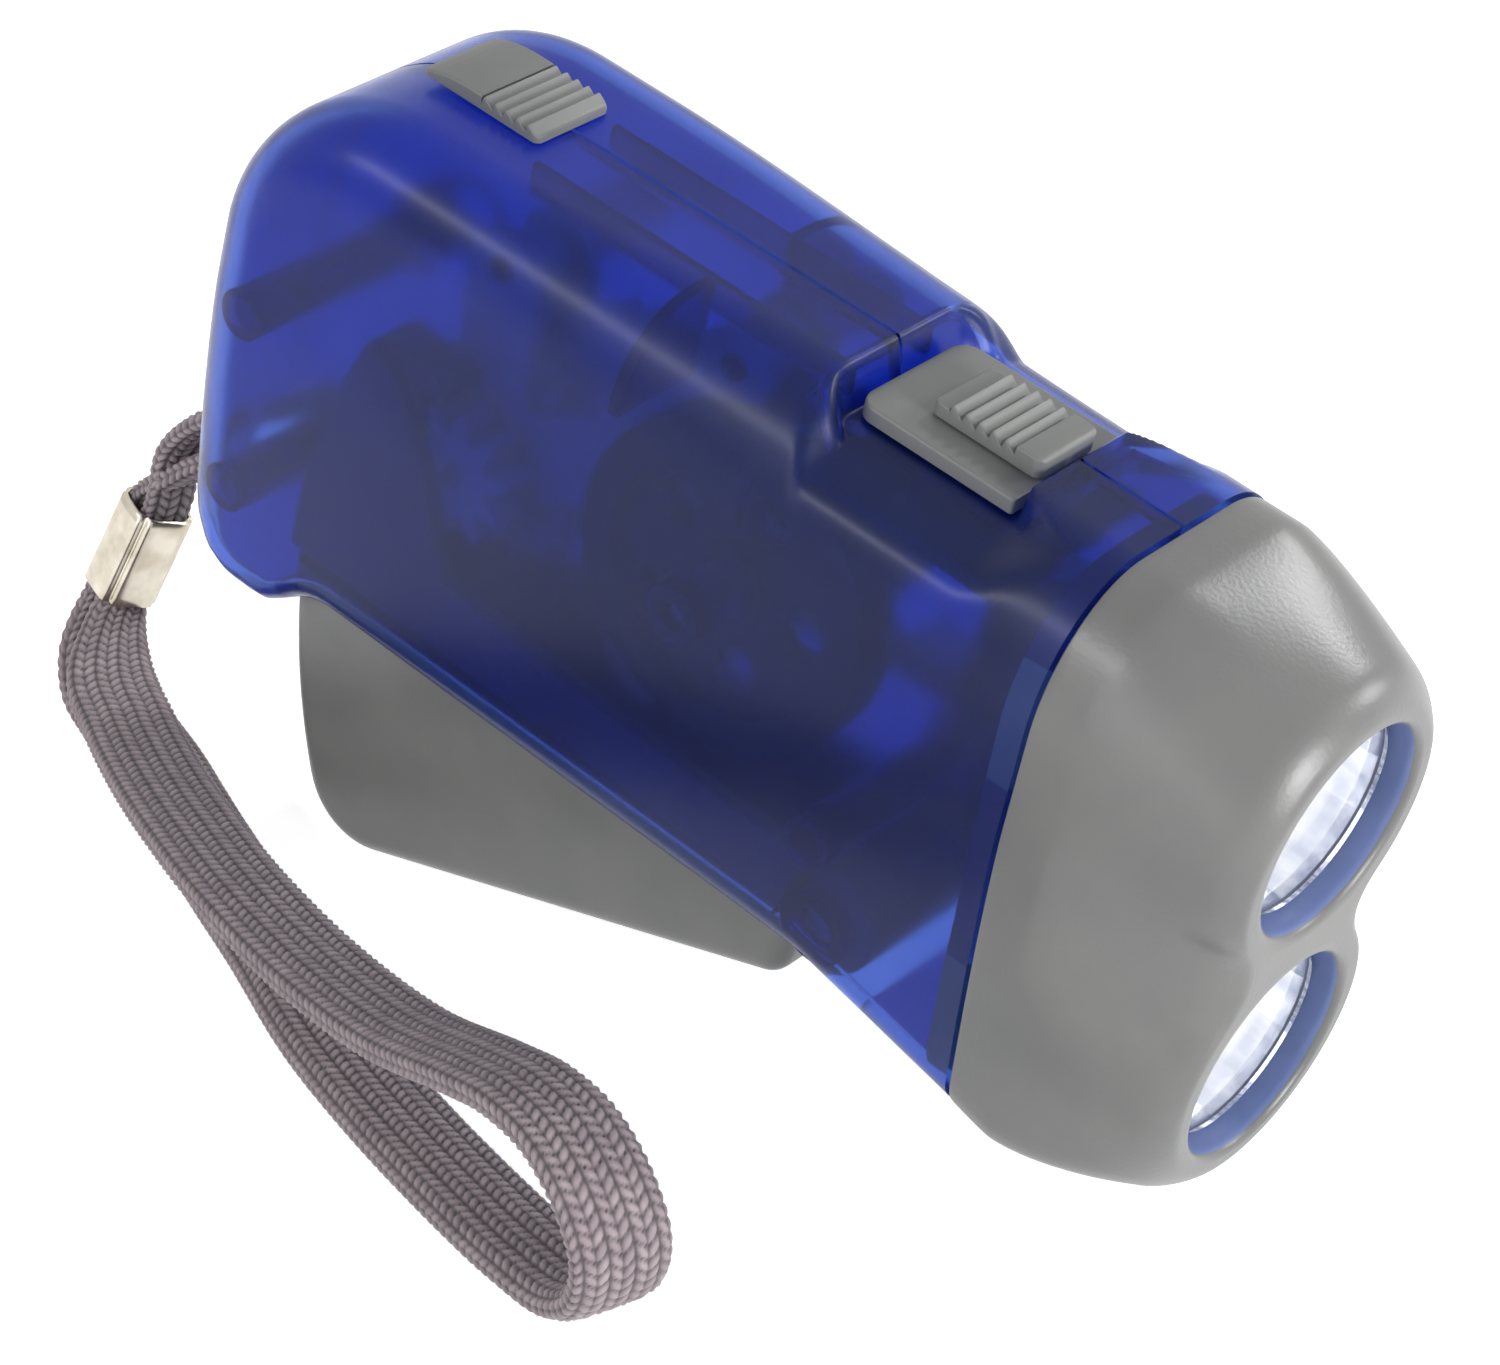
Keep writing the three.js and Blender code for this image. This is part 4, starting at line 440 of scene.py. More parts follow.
# %% Case: the pocket for the switch
POCKET_FLOOR, POCKET_SLOPE, POCKET_HALF = -2.7, 0.3, 6.8
POCKET_REAR, REAR_RUN, REAR_RUN_SIDE, REAR_RUN_END, REAR_WRAP, WRAP_END = -25.9, 2.0, 4.5, 4.0, 2.2, 3.0
POCKET_FRONT, FRONT_RUN, FRONT_RUN_SIDE, FRONT_RUN_FROM, FRONT_RUN_TO = -10.35, 0.6, 9.5, 5.5, 9.0
POCKET_RISE, RISE_BEYOND = 4.6, 20
LIP_BLEND, SIDE_BLEND, BLEND_FROM, BLEND_TO = 0.9, 3.0, POCKET_HALF - 0.5, POCKET_HALF + 3


def pocket_height(x, y):
    """Height of the pocket's floor and of the walls that rise from it, at places seen from above.

    The floor is level under the plate and slopes down beside it. The rear wall is straight across the
    middle and wraps forwards round the corners; the front one is steep in the middle and long at the sides.
    """
    beside = np.maximum(0, np.abs(y) - POCKET_HALF)
    rear_run = mix(REAR_RUN, REAR_RUN_SIDE, smoothstep(beside, 0, REAR_RUN_END))
    front_run = mix(FRONT_RUN, FRONT_RUN_SIDE, smoothstep(np.abs(y), FRONT_RUN_FROM, FRONT_RUN_TO))
    behind = (POCKET_REAR + REAR_WRAP * smoothstep(beside, 0, WRAP_END) - x) / rear_run
    rise = np.maximum(behind, (x - POCKET_FRONT) / front_run)
    wall = (POCKET_RISE + POCKET_SLOPE * beside) * smoothstep(rise, 0, 1)
    return POCKET_FLOOR - POCKET_SLOPE * beside + wall + RISE_BEYOND * np.maximum(0, rise - 1)


def soft_lower(a, b, blend):
    """The lower of two heights, with the crease between them rounded over the blend."""
    share = np.clip(0.5 + 0.5 * (b - a) / blend, 0, 1)
    return mix(b, a, share) - blend * share * (1 - share)


plate_middle, plate_side = pocket_height(np.array([-18.0, -18.0]), np.array([0.0, 9.0]))
print(f"pocket floor: {plate_middle:.2f} mm under the plate, {plate_side:.2f} mm beside it")

# %% [markdown]
# The edge of the case isn't one radius: it is wide at the shoulders, tight below, and changes towards the
# neck, which one swept profile can't follow. So each point of the outline gets its own quarter ellipse,
# sized by the direction that the outline faces there.

# %% Case: the skin
TOP_ROWS, ROUND_ROWS, SIDE_ROWS, ROUND_SPREAD = 24, 46, 18, 1.25
RUN_STEP, FINE_STEP, SPINE_STEP = 0.9, 0.15, 1.0
SPINE_SHARES, SPINE_DEPTH = (0.72, 0.06), 0.6
FINE_ZONE, POCKET_ZONE = (-31, -7, -8), (-34, -4, -14)
FRONT_CUT, ON_TOP = -0.3, 0.7


def in_zone(x, z, zone):
    """Whether places lie between the zone's two ends and above its lower limit."""
    return (x > zone[0]) & (x < zone[1]) & (z > zone[2])


def case_spacing(place):
    """Fine steps where the pocket is, coarse ones elsewhere."""
    return np.where(in_zone(place[:, 0], place[:, 1], FINE_ZONE), FINE_STEP, RUN_STEP)


corners = [(x * CASE_LENGTH, z * CASE_HEIGHT, r * CASE_HEIGHT) for x, z, r in CASE_CORNER_SHARES]
case_line, case_way = resample(round_path(corners), case_spacing)
case_normal = np.stack([case_way[:, 1], -case_way[:, 0]], axis=-1)
if case_normal[0, 1] < 0:
    case_normal = -case_normal
print(f"case outline: {len(case_line)} points along {lengths(case_line)[-1]:.1f} mm")


def case_skin(side):
    """Half of the case's outside as a grid: rows from the seam over the edge to the spine of the side.

    side is 1 for the far half and -1 for the near one. The spine is a line of points in the middle of the
    side's height; the rows' last points fall on the nearest of them, so that the two edges zip together.
    """
    drop, inset = edge_rounding(case_line[:, 0], case_normal)
    on_top = case_normal[:, 1] > ON_TOP
    rows = []
    edge_y = half_width(*case_line.T) - inset
    for share in np.linspace(0, 1, TOP_ROWS)[:-1]:
        rows.append(np.stack([case_line[:, 0], mix(SEAM_HALF_GAP, edge_y, share), case_line[:, 1]], -1))
    for turn in np.pi / 2 * np.linspace(0, 1, ROUND_ROWS) ** ROUND_SPREAD:
        place = case_line - case_normal * (drop * (1 - np.cos(turn)))[:, None]
        y = half_width(*place.T) - inset * (1 - np.sin(turn))
        place[on_top, 0] = np.minimum.accumulate(place[on_top, 0])
        rows.append(np.stack([place[:, 0], y, place[:, 1]], -1))
    inner = rows[-1]
    spine = np.clip(inner[:, 0], *(-share * CASE_LENGTH for share in SPINE_SHARES))
    spine = np.round(spine / SPINE_STEP) * SPINE_STEP
    for share in np.linspace(0, 1, SIDE_ROWS)[1:]:
        x, z = mix(inner[:, 0], spine, share), mix(inner[:, 2], -SPINE_DEPTH * CASE_HEIGHT, share)
        rows.append(np.stack([x, half_width(x, z), z], -1))
    skin = np.array(rows)
    blend = mix(LIP_BLEND, SIDE_BLEND, smoothstep(skin[..., 1], BLEND_FROM, BLEND_TO))
    lowered = soft_lower(skin[..., 2], pocket_height(skin[..., 0], skin[..., 1]), blend)
    skin[..., 2] = np.where(in_zone(skin[..., 0], skin[..., 2], POCKET_ZONE), lowered, skin[..., 2])
    skin[..., 1] *= side
    return skin


# %% [markdown]
# Both halves are mouldings of one wall thickness, with posts, ribs and bosses inside that show through the
# plastic as rings and bars. Each half is the open skin, cut where the head, the trigger, the strap and the
# screws pass, and then thickened. The fittings are closed bodies that start in the middle of the wall.

# %% Case: the two halves
SLOT_REAR, SLOT_FRONT, SLOT_HALF, SLOT_TOP = -73.6, -10.0, 10.3, -44.5
HOLE_LOW, HOLE_HIGH, HOLE_HALF, HOLE_FRONT = -47.8, -38.6, 3.6, -80.0
NEAR_FRONT, NEAR_SLOT = -4, -38
REAR_LOWER = (-79.8, -40.5)
SCREW_SPOTS = [(-79, -22), REAR_LOWER, (-16.8, -34.9)]
POST_RADIUS, POST_BORE = 2.2, 1.45
WELL_RADIUS, WELL_POST, WELL_FLOOR, WELL_PLANES = 2.8, 3.4, 8.0, 24
PIN_BOSS, PIN_BORE, PIN_BOSS_FACE = 3.2, 1.9, 10.3
AXLE_BOSS, AXLE_BORE, AXLE_FACE_NEAR, AXLE_FACE_FAR = 2.6, 1.15, 8.5, 10.3
PILLAR_SPOTS, PILLAR_RADIUS, PILLAR_FACE, PEG_RADIUS, PEG_END = [(-62, -12), (-38.5, -7.4)], 2.4, 4.5, 1.0, -3.8
RIB_X, RIB_THICK, RIB_INNER, RIB_DEPTH, RIB_TURNS = -42.0, 1.0, 5.0, 9.0, np.radians(np.linspace(90, 8, 12))
LIP_REAR, LIP_FRONT, LIP_Y, LIP_THICK, LIP_DEPTH = -60.0, -28.0, 4.2, 0.7, 2.9
POST_SIDES, PILLAR_SIDES = 40, 32


def carve(work, planes, near, inside):
    """Splits the faces near an opening along its planes, then deletes those whose middle lies inside it."""
    for point, normal in planes:
        faces = [face for face in work.faces if near(face.calc_center_median())]
        edges = list({edge for face in faces for edge in face.edges})
        corners = list({corner for face in faces for corner in face.verts})
        bmesh.ops.bisect_plane(work, geom=faces + edges + corners, dist=1e-4, plane_co=point, plane_no=normal)
    doomed = [face for face in work.faces if inside(face.calc_center_median())]
    bmesh.ops.delete(work, geom=doomed, context="FACES")


def level(axis, place):
    """The plane across an axis at a place on it, as point and normal."""
    normal = Vector([float(axis == name) for name in "xyz"])
    return normal * place, normal


def wall_middle(spot):
    """The place across the torch that lies in the middle of the side wall."""
    return float(half_width(*spot)) - WALL / 2


def tube(spot, outer, face, bore):
    """A round post from its face to the middle of the side wall, with a hole along it."""
    end = wall_middle(spot)
    return spun(spot, [(bore, face), (outer, face), (outer, end), (bore, end), (bore, face)], POST_SIDES)


def wall_rib():
    """A thin cross rib under the top: its outer edge follows the middle of the wall round the shoulder.

    The wall's middle is the ellipse of the rounding, made smaller by half the wall.
    """
    neck = 1 - smoothstep(-RIB_X, NECK_END, NECK_START)
    drop, inset = (mix(SHOULDER[k], NECK[k], neck) for k in (0, 1))
    y = float(half_width(RIB_X, 0)) - inset + (inset - WALL / 2) * np.cos(RIB_TURNS)
    z = -drop + (drop - WALL / 2) * np.sin(RIB_TURNS)
    outline = [(RIB_INNER, -WALL / 2), *zip(y, z), (y[-1], -RIB_DEPTH), (RIB_INNER, -RIB_DEPTH)]
    return prism(outline, RIB_X, RIB_X + RIB_THICK, axis="x")


def fittings(side):
    """What stands on the inside of one half, as closed surfaces that start in the middle of its wall."""
    lip = [(LIP_REAR, -WALL / 2), (LIP_FRONT, -WALL / 2), (LIP_FRONT, -LIP_DEPTH), (LIP_REAR, -LIP_DEPTH)]
    found = [
        wall_rib(),
        prism(lip, LIP_Y, LIP_Y + LIP_THICK),
        tube(PIVOT, PIN_BOSS, PIN_BOSS_FACE, PIN_BORE),
        tube(FLYWHEEL_AXIS, AXLE_BOSS, AXLE_FACE_FAR if side > 0 else AXLE_FACE_NEAR, AXLE_BORE),
    ]
    for spot in SCREW_SPOTS:
        end = wall_middle(spot)
        found.append(tube(spot, POST_RADIUS, SEAM_HALF_GAP, POST_BORE) if side < 0 else spun(spot, [
            (POST_BORE, SEAM_HALF_GAP), (POST_RADIUS, SEAM_HALF_GAP), (POST_RADIUS, WELL_FLOOR - WALL),
            (WELL_POST, WELL_FLOOR - WALL), (WELL_POST, end), (WELL_RADIUS, end), (WELL_RADIUS, WELL_FLOOR),
            (POST_BORE, WELL_FLOOR), (POST_BORE, SEAM_HALF_GAP)], POST_SIDES))
    for spot in PILLAR_SPOTS if side > 0 else []:
        end = wall_middle(spot)
        found.append(spun(spot, [
            (0, PEG_END), (PEG_RADIUS, PEG_END), (PEG_RADIUS, PILLAR_FACE), (PILLAR_RADIUS, PILLAR_FACE),
            (PILLAR_RADIUS, end), (0, end)], PILLAR_SIDES))
    return [(points * np.array([1, side, 1]), faces) for points, faces in found]


def carve_well(work, x, z):
    """The round opening of one screw well, cut by planes that touch the circle."""
    ways = polar((0, 0), 1.0, np.arange(WELL_PLANES) * 360 / WELL_PLANES)
    near = lambda c: c.y > WELL_FLOOR and math.hypot(c.x - x, c.z - z) < 2 * WELL_RADIUS
    rim = [(Vector((x + a * WELL_RADIUS, 0, z + b * WELL_RADIUS)), (a, 0, b)) for a, b in ways]
    carve(work, rim, near, lambda c: near(c) and max((c.x - x) * a + (c.z - z) * b for a, b in ways) < WELL_RADIUS)


def case_half(name, side):
    """One half: its skin, cut at the head and at its openings, given its wall, posts and ribs."""
    skin = case_skin(side)
    half = new_piece(name, (skin, grid_faces(*skin.shape[:2], wrap=True)))
    with editing(half.data) as work:
        carve(work, [level("x", FRONT_CUT)], lambda c: c.x > NEAR_FRONT, lambda c: c.x > FRONT_CUT)
        carve(
            work,
            [level("y", side * SLOT_HALF), level("x", SLOT_REAR), level("x", SLOT_FRONT), level("z", SLOT_TOP)],
            lambda c: c.z < NEAR_SLOT,
            lambda c: SLOT_REAR < c.x < SLOT_FRONT and abs(c.y) < SLOT_HALF and c.z < SLOT_TOP,
        )
        carve(
            work,
            [level("y", side * HOLE_HALF), level("z", HOLE_LOW), level("z", HOLE_HIGH)],
            lambda c: c.x < HOLE_FRONT,
            lambda c: c.x < HOLE_FRONT and abs(c.y) < HOLE_HALF and HOLE_LOW < c.z < HOLE_HIGH,
        )
        for spot in SCREW_SPOTS if side > 0 else []:
            carve_well(work, *spot)
        bmesh.ops.recalc_face_normals(work, faces=work.faces)
        face_outwards(work, 0, side, 0)
    thicken(half, WALL)
    inner = new_piece("fittings", *fittings(side))
    with editing(half.data) as work:
        work.from_mesh(inner.data)
    bpy.data.objects.remove(inner)
    smooth(half.data)
    return half


settle(case_half("blue_case_near", -1), "torch_case", blue_shell, "case_near")
settle(case_half("blue_case_far", 1), "torch_case", blue_shell, "case_far")

# %% [markdown]
# The head is one profile carried round an outline that changes on its way: a tall rounded box where it
# meets the case, two lobes with a waist at its front. The front is closed by two rings of faces, each
# between half of the outline, with the middle line, and the round rim of one aperture.

# %% Head
HEAD_LENGTH, HEAD_WALL, HEAD_FRONT_WALL = 19.0, 2.0, 4.3
LOBE_RADIUS, UPPER_LENS, LOWER_LENS, WAIST_FILLET = 12.2, -15.7, -38.0, 7.5
RIM_LENGTH, RIM_DROP = 2.8, 2.2
TAPER_FROM, TAPER_LENGTH, TAPER_BEND, HEAD_BULGE = 4.0, 14.4, 1.25, 1.1
SPIGOT_LENGTH, SPIGOT_INSIDE, SPIGOT_OUTSIDE, HEAD_LEDGE, GAP = 3.0, 3.4, 1.9, 2.5, 0.3
APERTURE, APERTURE_FLARE, APERTURE_EDGE = 8.9, 0.6, 0.5
HEAD_COLUMNS, WAIST_POINTS, HEAD_ROWS, RIM_ROWS, HALVINGS = 176, 14, 30, 12, 32
HEAD_MIDDLE = (UPPER_LENS + LOWER_LENS) / 2
head_turn = np.arange(HEAD_COLUMNS) * 360 / HEAD_COLUMNS


def section_half_width(z):
    """Half-width of the case's section at the head, with its rounded shoulders and lower edges."""
    top = np.clip(-z / NECK[0], 0, 1)
    bottom = np.clip((CASE_HEIGHT + z) / BOTTOM_ROUND, 0, 1)
    away = lambda share, inset: inset * (1 - np.sqrt(1 - (1 - share) ** 2))
    return half_width(np.zeros_like(z), z) - away(top, NECK[1]) - away(bottom, BOTTOM_ROUND)


def lobe_half_width(z):
    """Half-width of two round lobes with a fillet between them."""
    half = (UPPER_LENS - LOWER_LENS) / 2
    reach = math.sqrt((LOBE_RADIUS + WAIST_FILLET) ** 2 - half**2)
    tangent = WAIST_FILLET / (LOBE_RADIUS + WAIST_FILLET) * half
    away = np.abs(z - HEAD_MIDDLE)
    waist = reach - np.sqrt(np.maximum(0, WAIST_FILLET**2 - away**2))
    lobe = np.sqrt(np.maximum(0, LOBE_RADIUS**2 - (away - half) ** 2))
    return np.where(away < tangent, waist, lobe)


def reach_of(width_at):
    """Distance from the head's middle to an outline in every direction, by halving."""
    inside, outside = np.zeros(HEAD_COLUMNS), np.full(HEAD_COLUMNS, CASE_HEIGHT)
    for _ in range(HALVINGS):
        reach = (inside + outside) / 2
        y, z = polar((0, HEAD_MIDDLE), reach, head_turn).T
        within = (z < 0) & (z > -CASE_HEIGHT) & (np.abs(y) < width_at(np.clip(z, -CASE_HEIGHT, 0)))
        inside, outside = np.where(within, reach, inside), np.where(within, outside, reach)
    return inside


rear_reach, lobe_reach = reach_of(section_half_width), reach_of(lobe_half_width)


def head_ring(x, inset):
    """The head's outline at a distance from the case, shrunk by inset: rows of x, y, z."""
    front = np.clip((x - TAPER_FROM) / TAPER_LENGTH, 0, 1) ** TAPER_BEND
    share = np.clip(x / HEAD_LENGTH, 0, 1)
    bulge = HEAD_BULGE * 2 * share * (1 - share) * (1 - np.sin(np.radians(head_turn)))
    y, z = polar((0, HEAD_MIDDLE), mix(rear_reach, lobe_reach, front) + bulge - inset, head_turn).T
    return np.stack([np.full(HEAD_COLUMNS, x), y, z], -1)


def lobe_rings(outer, inner, apertures):
    """Faces' rings from half an outline and the middle line to one round aperture, for both lobes.

    outer and inner are the outlines at the front and behind the front wall; apertures is a profile of
    (x, radius) from the front face to the back of the front wall.
    """
    half = HEAD_COLUMNS // 2
    found = []
    for centre, first in ((UPPER_LENS, 0), (LOWER_LENS, half)):
        rings = []
        for outline in (outer, inner):
            edge = outline[(np.arange(half + 1) + first) % HEAD_COLUMNS]
            share = np.linspace(0, 1, WAIST_POINTS + 2)[1:-1, None]
            rings.append(np.concatenate([edge, mix(edge[-1], edge[0], share)]))
        turn = np.arctan2(rings[0][:, 2] - centre, rings[0][:, 1])
        circle = lambda x, radius: np.stack(
            [np.full(len(turn), x), radius * np.cos(turn), centre + radius * np.sin(turn)], -1)
        rows = [mix(rings[0], circle(*apertures[0]), share) for share in (0, 0.35, 0.7)]
        rows += [circle(x, radius) for x, radius in apertures]
        rows += [mix(circle(*apertures[-1]), rings[1], share) for share in (0.5, 1)]
        found.append((np.array(rows), grid_faces(len(rows), len(turn), wrap=True)))
    return found


rim_place = HEAD_LENGTH - RIM_LENGTH
outside = [(0.0, SPIGOT_OUTSIDE), (0.0, 0.25), (0.12, 0.05)]
outside += [(x, 0.0) for x in np.linspace(0.3, rim_place, HEAD_ROWS)]
outside += [(HEAD_LENGTH - RIM_LENGTH * (1 - math.sin(turn)), RIM_DROP * (1 - math.cos(turn)))
            for turn in np.linspace(0, np.pi / 2, RIM_ROWS)[1:]]
front_wall = HEAD_LENGTH - HEAD_FRONT_WALL
inside = [(x, HEAD_WALL) for x in (front_wall, HEAD_LENGTH / 2, HEAD_LEDGE)]
inside += [(HEAD_LEDGE, SPIGOT_INSIDE), (-SPIGOT_LENGTH, SPIGOT_INSIDE), (-SPIGOT_LENGTH, SPIGOT_OUTSIDE)]
inside += outside[:1]
lip = [(HEAD_LENGTH - back, APERTURE + wider)
       for back, wider in ((0, APERTURE_FLARE), (0.15, 0.36), (0.45, 0.14), (1.0, 0.02))]
lip += [(x, APERTURE) for x in np.linspace(HEAD_LENGTH - 1.4, front_wall, 6)]
skins = [np.array([head_ring(*place) for place in profile]) for profile in (outside, inside)]
head = new_piece(
    "grey_head", *((skin, grid_faces(len(skin), HEAD_COLUMNS, wrap=True)) for skin in skins),
    *lobe_rings(skins[0][-1], skins[1][0], lip),
)
# the faces of the aperture walls, which get the painted diode light instead of the head's grey
in_aperture = np.zeros(len(head.data.polygons), np.int32)
for k, face in enumerate(head.data.polygons):
    x, y, z = face.center
    away = min(math.hypot(y, z - centre) for centre in (UPPER_LENS, LOWER_LENS))
    in_aperture[k] = front_wall - 0.1 < x < HEAD_LENGTH - APERTURE_EDGE and away < APERTURE + 0.2
settle(head, "torch_case", grey_shell, "head_cover")
# second finish: the painted diode light on the aperture walls
head.data.materials.append(aperture_painted_light)
head.data.polygons.foreach_set("material_index", in_aperture)

# %% [markdown]
# Behind each aperture lies a clear lens with a step, a cup of small flat facets and the diode with its dome.
# The cup is a metal mirror with a faint painted glow added, which brightens it. All three are turned about
# the beam, so each is a profile that is spun; few sides and hard edges give the cup its facets.

# %% Lenses, reflectors and diodes
LENS_THICK, LENS_CROWN, LENS_STEP, STEP_RADIUS = 1.2, 0.5, 2.3, 8.6
REFLECTOR_DEPTH, REFLECTOR_WALL = 7.4, 0.8
LED_RADIUS, LED_FLANGE, LED_FLANGE_THICK, LED_LENGTH = 2.5, 2.9, 1.0, 7.2
BOARD_THICK = 1.2
FACET_ROWS, FACETS, FACET_ANGLE, LENS_SIDES, LED_SIDES = 8, 26, 4, 72, 32
lens_front = front_wall - GAP
reflector_front = lens_front - LENS_THICK - GAP
lens_radius = LOBE_RADIUS - HEAD_WALL - GAP
led_rear = HEAD_LEDGE + GAP + BOARD_THICK + GAP

lens_profile = [(0, lens_front - LENS_THICK), (lens_radius - 0.2, lens_front - LENS_THICK),
                (lens_radius, lens_front - LENS_THICK + 0.2), (lens_radius, lens_front - 0.2),
                (lens_radius - 0.2, lens_front), (STEP_RADIUS, lens_front),
                (STEP_RADIUS, lens_front + LENS_STEP - 0.3)]
lens_profile += [(STEP_RADIUS * out * 0.97, lens_front + LENS_STEP + LENS_CROWN * (1 - out * out))
                 for out in np.linspace(1, 0, 14)]
share = np.linspace(0, 1, FACET_ROWS + 1)
cup_radius = np.sqrt(mix((LED_RADIUS + GAP) ** 2, (lens_radius - REFLECTOR_WALL) ** 2, share))
cup_inside = np.stack([cup_radius, reflector_front - REFLECTOR_DEPTH * (1 - share)], -1)
cup = np.concatenate([cup_inside, cup_inside[::-1] + [REFLECTOR_WALL, 0], cup_inside[:1]])
diode_profile = [(0, led_rear), (LED_FLANGE, led_rear), (LED_FLANGE, led_rear + LED_FLANGE_THICK),
                 (LED_RADIUS, led_rear + LED_FLANGE_THICK)]
diode_profile += [(LED_RADIUS * math.cos(turn), led_rear + LED_LENGTH - LED_RADIUS * (1 - math.sin(turn)))
                  for turn in np.linspace(0, np.pi / 2, 10)]
for name, centre in (("upper", UPPER_LENS), ("lower", LOWER_LENS)):
    for kind, profile, sides, sharp, finish, node in (
        ("clear_lens", lens_profile, LENS_SIDES, SHARP_ANGLE, clear_lens, "lens"),
        ("faceted_cup", cup, FACETS, FACET_ANGLE, mirror_painted_glow, "reflector"),
        ("diode", diode_profile, LED_SIDES, SHARP_ANGLE, glow, "led"),
    ):
        piece = new_piece(f"{name}_{kind}", spun((0, centre), profile, sides, axis="x"), sharp=sharp)
        settle(piece, "torch_case", finish, f"{name}_{node}")

# %% [markdown]
# The trigger is a trough that opens upwards, with soft edges, a high wall on the near side and a toothed
# arc at its rear, all of which swing about the pin. The arc drives the gears inside the case.

# %% Trigger: sizes and the trough's side view
TRIGGER_RADIUS, TRIGGER_HALF, TRIGGER_WALL, TRIGGER_EDGE = 58.5, 10.0, 1.4, 1.9
UNDERSIDE_FRONT, UNDERSIDE_TILT = np.array([-18.7, -52.4]), math.radians(21.7)
UNDERSIDE_CORNER, REAR_CORNER, TROUGH_TOP = 2.5, 6.5, PIVOT[1] - 1.5
HUB_RADIUS, PIN_RADIUS, HUB_CHAMFER, HUB_SIDES = 4.6, 1.75, 0.4, 48
TROUGH_STEP, TROUGH_SIDE_ROWS, TROUGH_EDGE_ROWS, TROUGH_FLOOR_ROWS = 0.55, 12, 9, 12
SECTOR_TOP, SECTOR_BOTTOM, TOOTH_PITCH, SECTOR_INNER, SECTOR_ROOT = 23, -9, 360 / 104, 51.1, 53.2
SECTOR_FACE = -4.4
NEAR_WALL_SHARES = [(0.08, 60), (0.5, 9.5), (0.735, 8.2), (0.82, 16.6), (0.93, 22.6)]

start = UNDERSIDE_FRONT - PIVOT
down = np.array([math.cos(UNDERSIDE_TILT), math.sin(UNDERSIDE_TILT)])
reach = start @ down + math.sqrt((start @ down) ** 2 - start @ start + TRIGGER_RADIUS**2)
rear_low = UNDERSIDE_FRONT - reach * down
low_angle = math.degrees(math.atan2(*(rear_low - PIVOT)[::-1])) % 360
high_angle = 180 + math.degrees(math.asin(1.5 / TRIGGER_RADIUS))
rear_arc = arc(PIVOT, TRIGGER_RADIUS, high_angle, mix(low_angle, high_angle, 0.24), 16)
trough_corners = [(*rear_arc[-1], 0), (*rear_low, REAR_CORNER), (*UNDERSIDE_FRONT, UNDERSIDE_CORNER),
                  (UNDERSIDE_FRONT[0] + 1.6, TROUGH_TOP, 0)]
trough_line, trough_way = resample(
    np.concatenate([rear_arc[:-1], round_path(trough_corners)]), lambda place: np.full(len(place), TROUGH_STEP))
trough_normal = np.stack([trough_way[:, 1], -trough_way[:, 0]], -1)
if trough_normal[len(trough_normal) // 2, 1] > 0:
    trough_normal = -trough_normal


def trough_skin():
    """The trough's outside: rows down the near side, round its edge, across, and up the far side."""
    row = lambda place, y: np.insert(place, 1, y, axis=1)
    edge = trough_line - trough_normal * TRIGGER_EDGE
    share = np.linspace(0, 1, len(edge))
    top = np.stack([mix(edge[0, 0], edge[-1, 0], share), np.full(len(edge), TROUGH_TOP)], -1)
    half = [row(mix(edge, top, rise), TRIGGER_HALF) for rise in np.linspace(1, 0, TROUGH_SIDE_ROWS)]
    for turn in np.linspace(np.pi / 2, 0, TROUGH_EDGE_ROWS)[1:]:
        place = trough_line - trough_normal * TRIGGER_EDGE * (1 - math.cos(turn))
        half.append(row(place, TRIGGER_HALF - TRIGGER_EDGE * (1 - math.sin(turn))))
    half = np.array(half)
    across = [half[-1] * np.array([1, share, 1]) for share in np.linspace(1, -1, TROUGH_FLOOR_ROWS)[1:-1]]
    return np.concatenate([half, np.array(across), (half * np.array([1, -1, 1]))[::-1]])


skin = trough_skin()
trough = new_piece("trigger_trough", (skin, grid_faces(*skin.shape[:2])))
with editing(trough.data) as work:
    face_outwards(work, 0, 0, -1)
thicken(trough, TRIGGER_WALL)
settle(trough, "trigger", grey_shell, "trigger")

# %% [markdown]
# Inside the case the trigger has a high near wall, which shows as a dark shape with a ragged edge, and the
# toothed arc. Both are flat plates, so each is an outline drawn out across the torch; the hub is turned.

# %% Trigger: the wall, hub and toothed arc inside the case
wall_line = [arc(PIVOT, TRIGGER_RADIUS, 180 - SECTOR_TOP, 180, 30), [(PIVOT[0], TROUGH_TOP)]]
wall_line += [polar(PIVOT, share * TRIGGER_RADIUS, 180 - up)[None] for share, up in NEAR_WALL_SHARES]
near_wall = prism(np.concatenate(wall_line), -TRIGGER_HALF, TRIGGER_WALL - TRIGGER_HALF)
tooth_turn = np.arange(SECTOR_BOTTOM, SECTOR_TOP, TOOTH_PITCH)
teeth = [(SECTOR_ROOT, 0.0), (SECTOR_ROOT, 0.28), (SECTOR_INNER, 0.4), (SECTOR_INNER, 0.78), (SECTOR_ROOT, 0.9)]
tooth_line = [polar(PIVOT, radius, 180 - turn - share * TOOTH_PITCH)[None]
              for turn in tooth_turn for radius, share in teeth]
sector_line = [arc(PIVOT, TRIGGER_RADIUS, 180 - SECTOR_TOP, 180 - SECTOR_BOTTOM, 30)] + tooth_line
sector = prism(np.concatenate(sector_line), TRIGGER_WALL - TRIGGER_HALF, SECTOR_FACE)
hub_half = [(PIN_RADIUS, TRIGGER_HALF), (HUB_RADIUS - HUB_CHAMFER, TRIGGER_HALF),
            (HUB_RADIUS, TRIGGER_HALF - HUB_CHAMFER)]
hub_line = [(radius, -y) for radius, y in hub_half] + hub_half[::-1] + [(PIN_RADIUS, -TRIGGER_HALF)]
hub = spun(PIVOT, hub_line, HUB_SIDES)
settle(new_piece("trigger_arc", near_wall, sector, hub), "trigger", grey_plain)

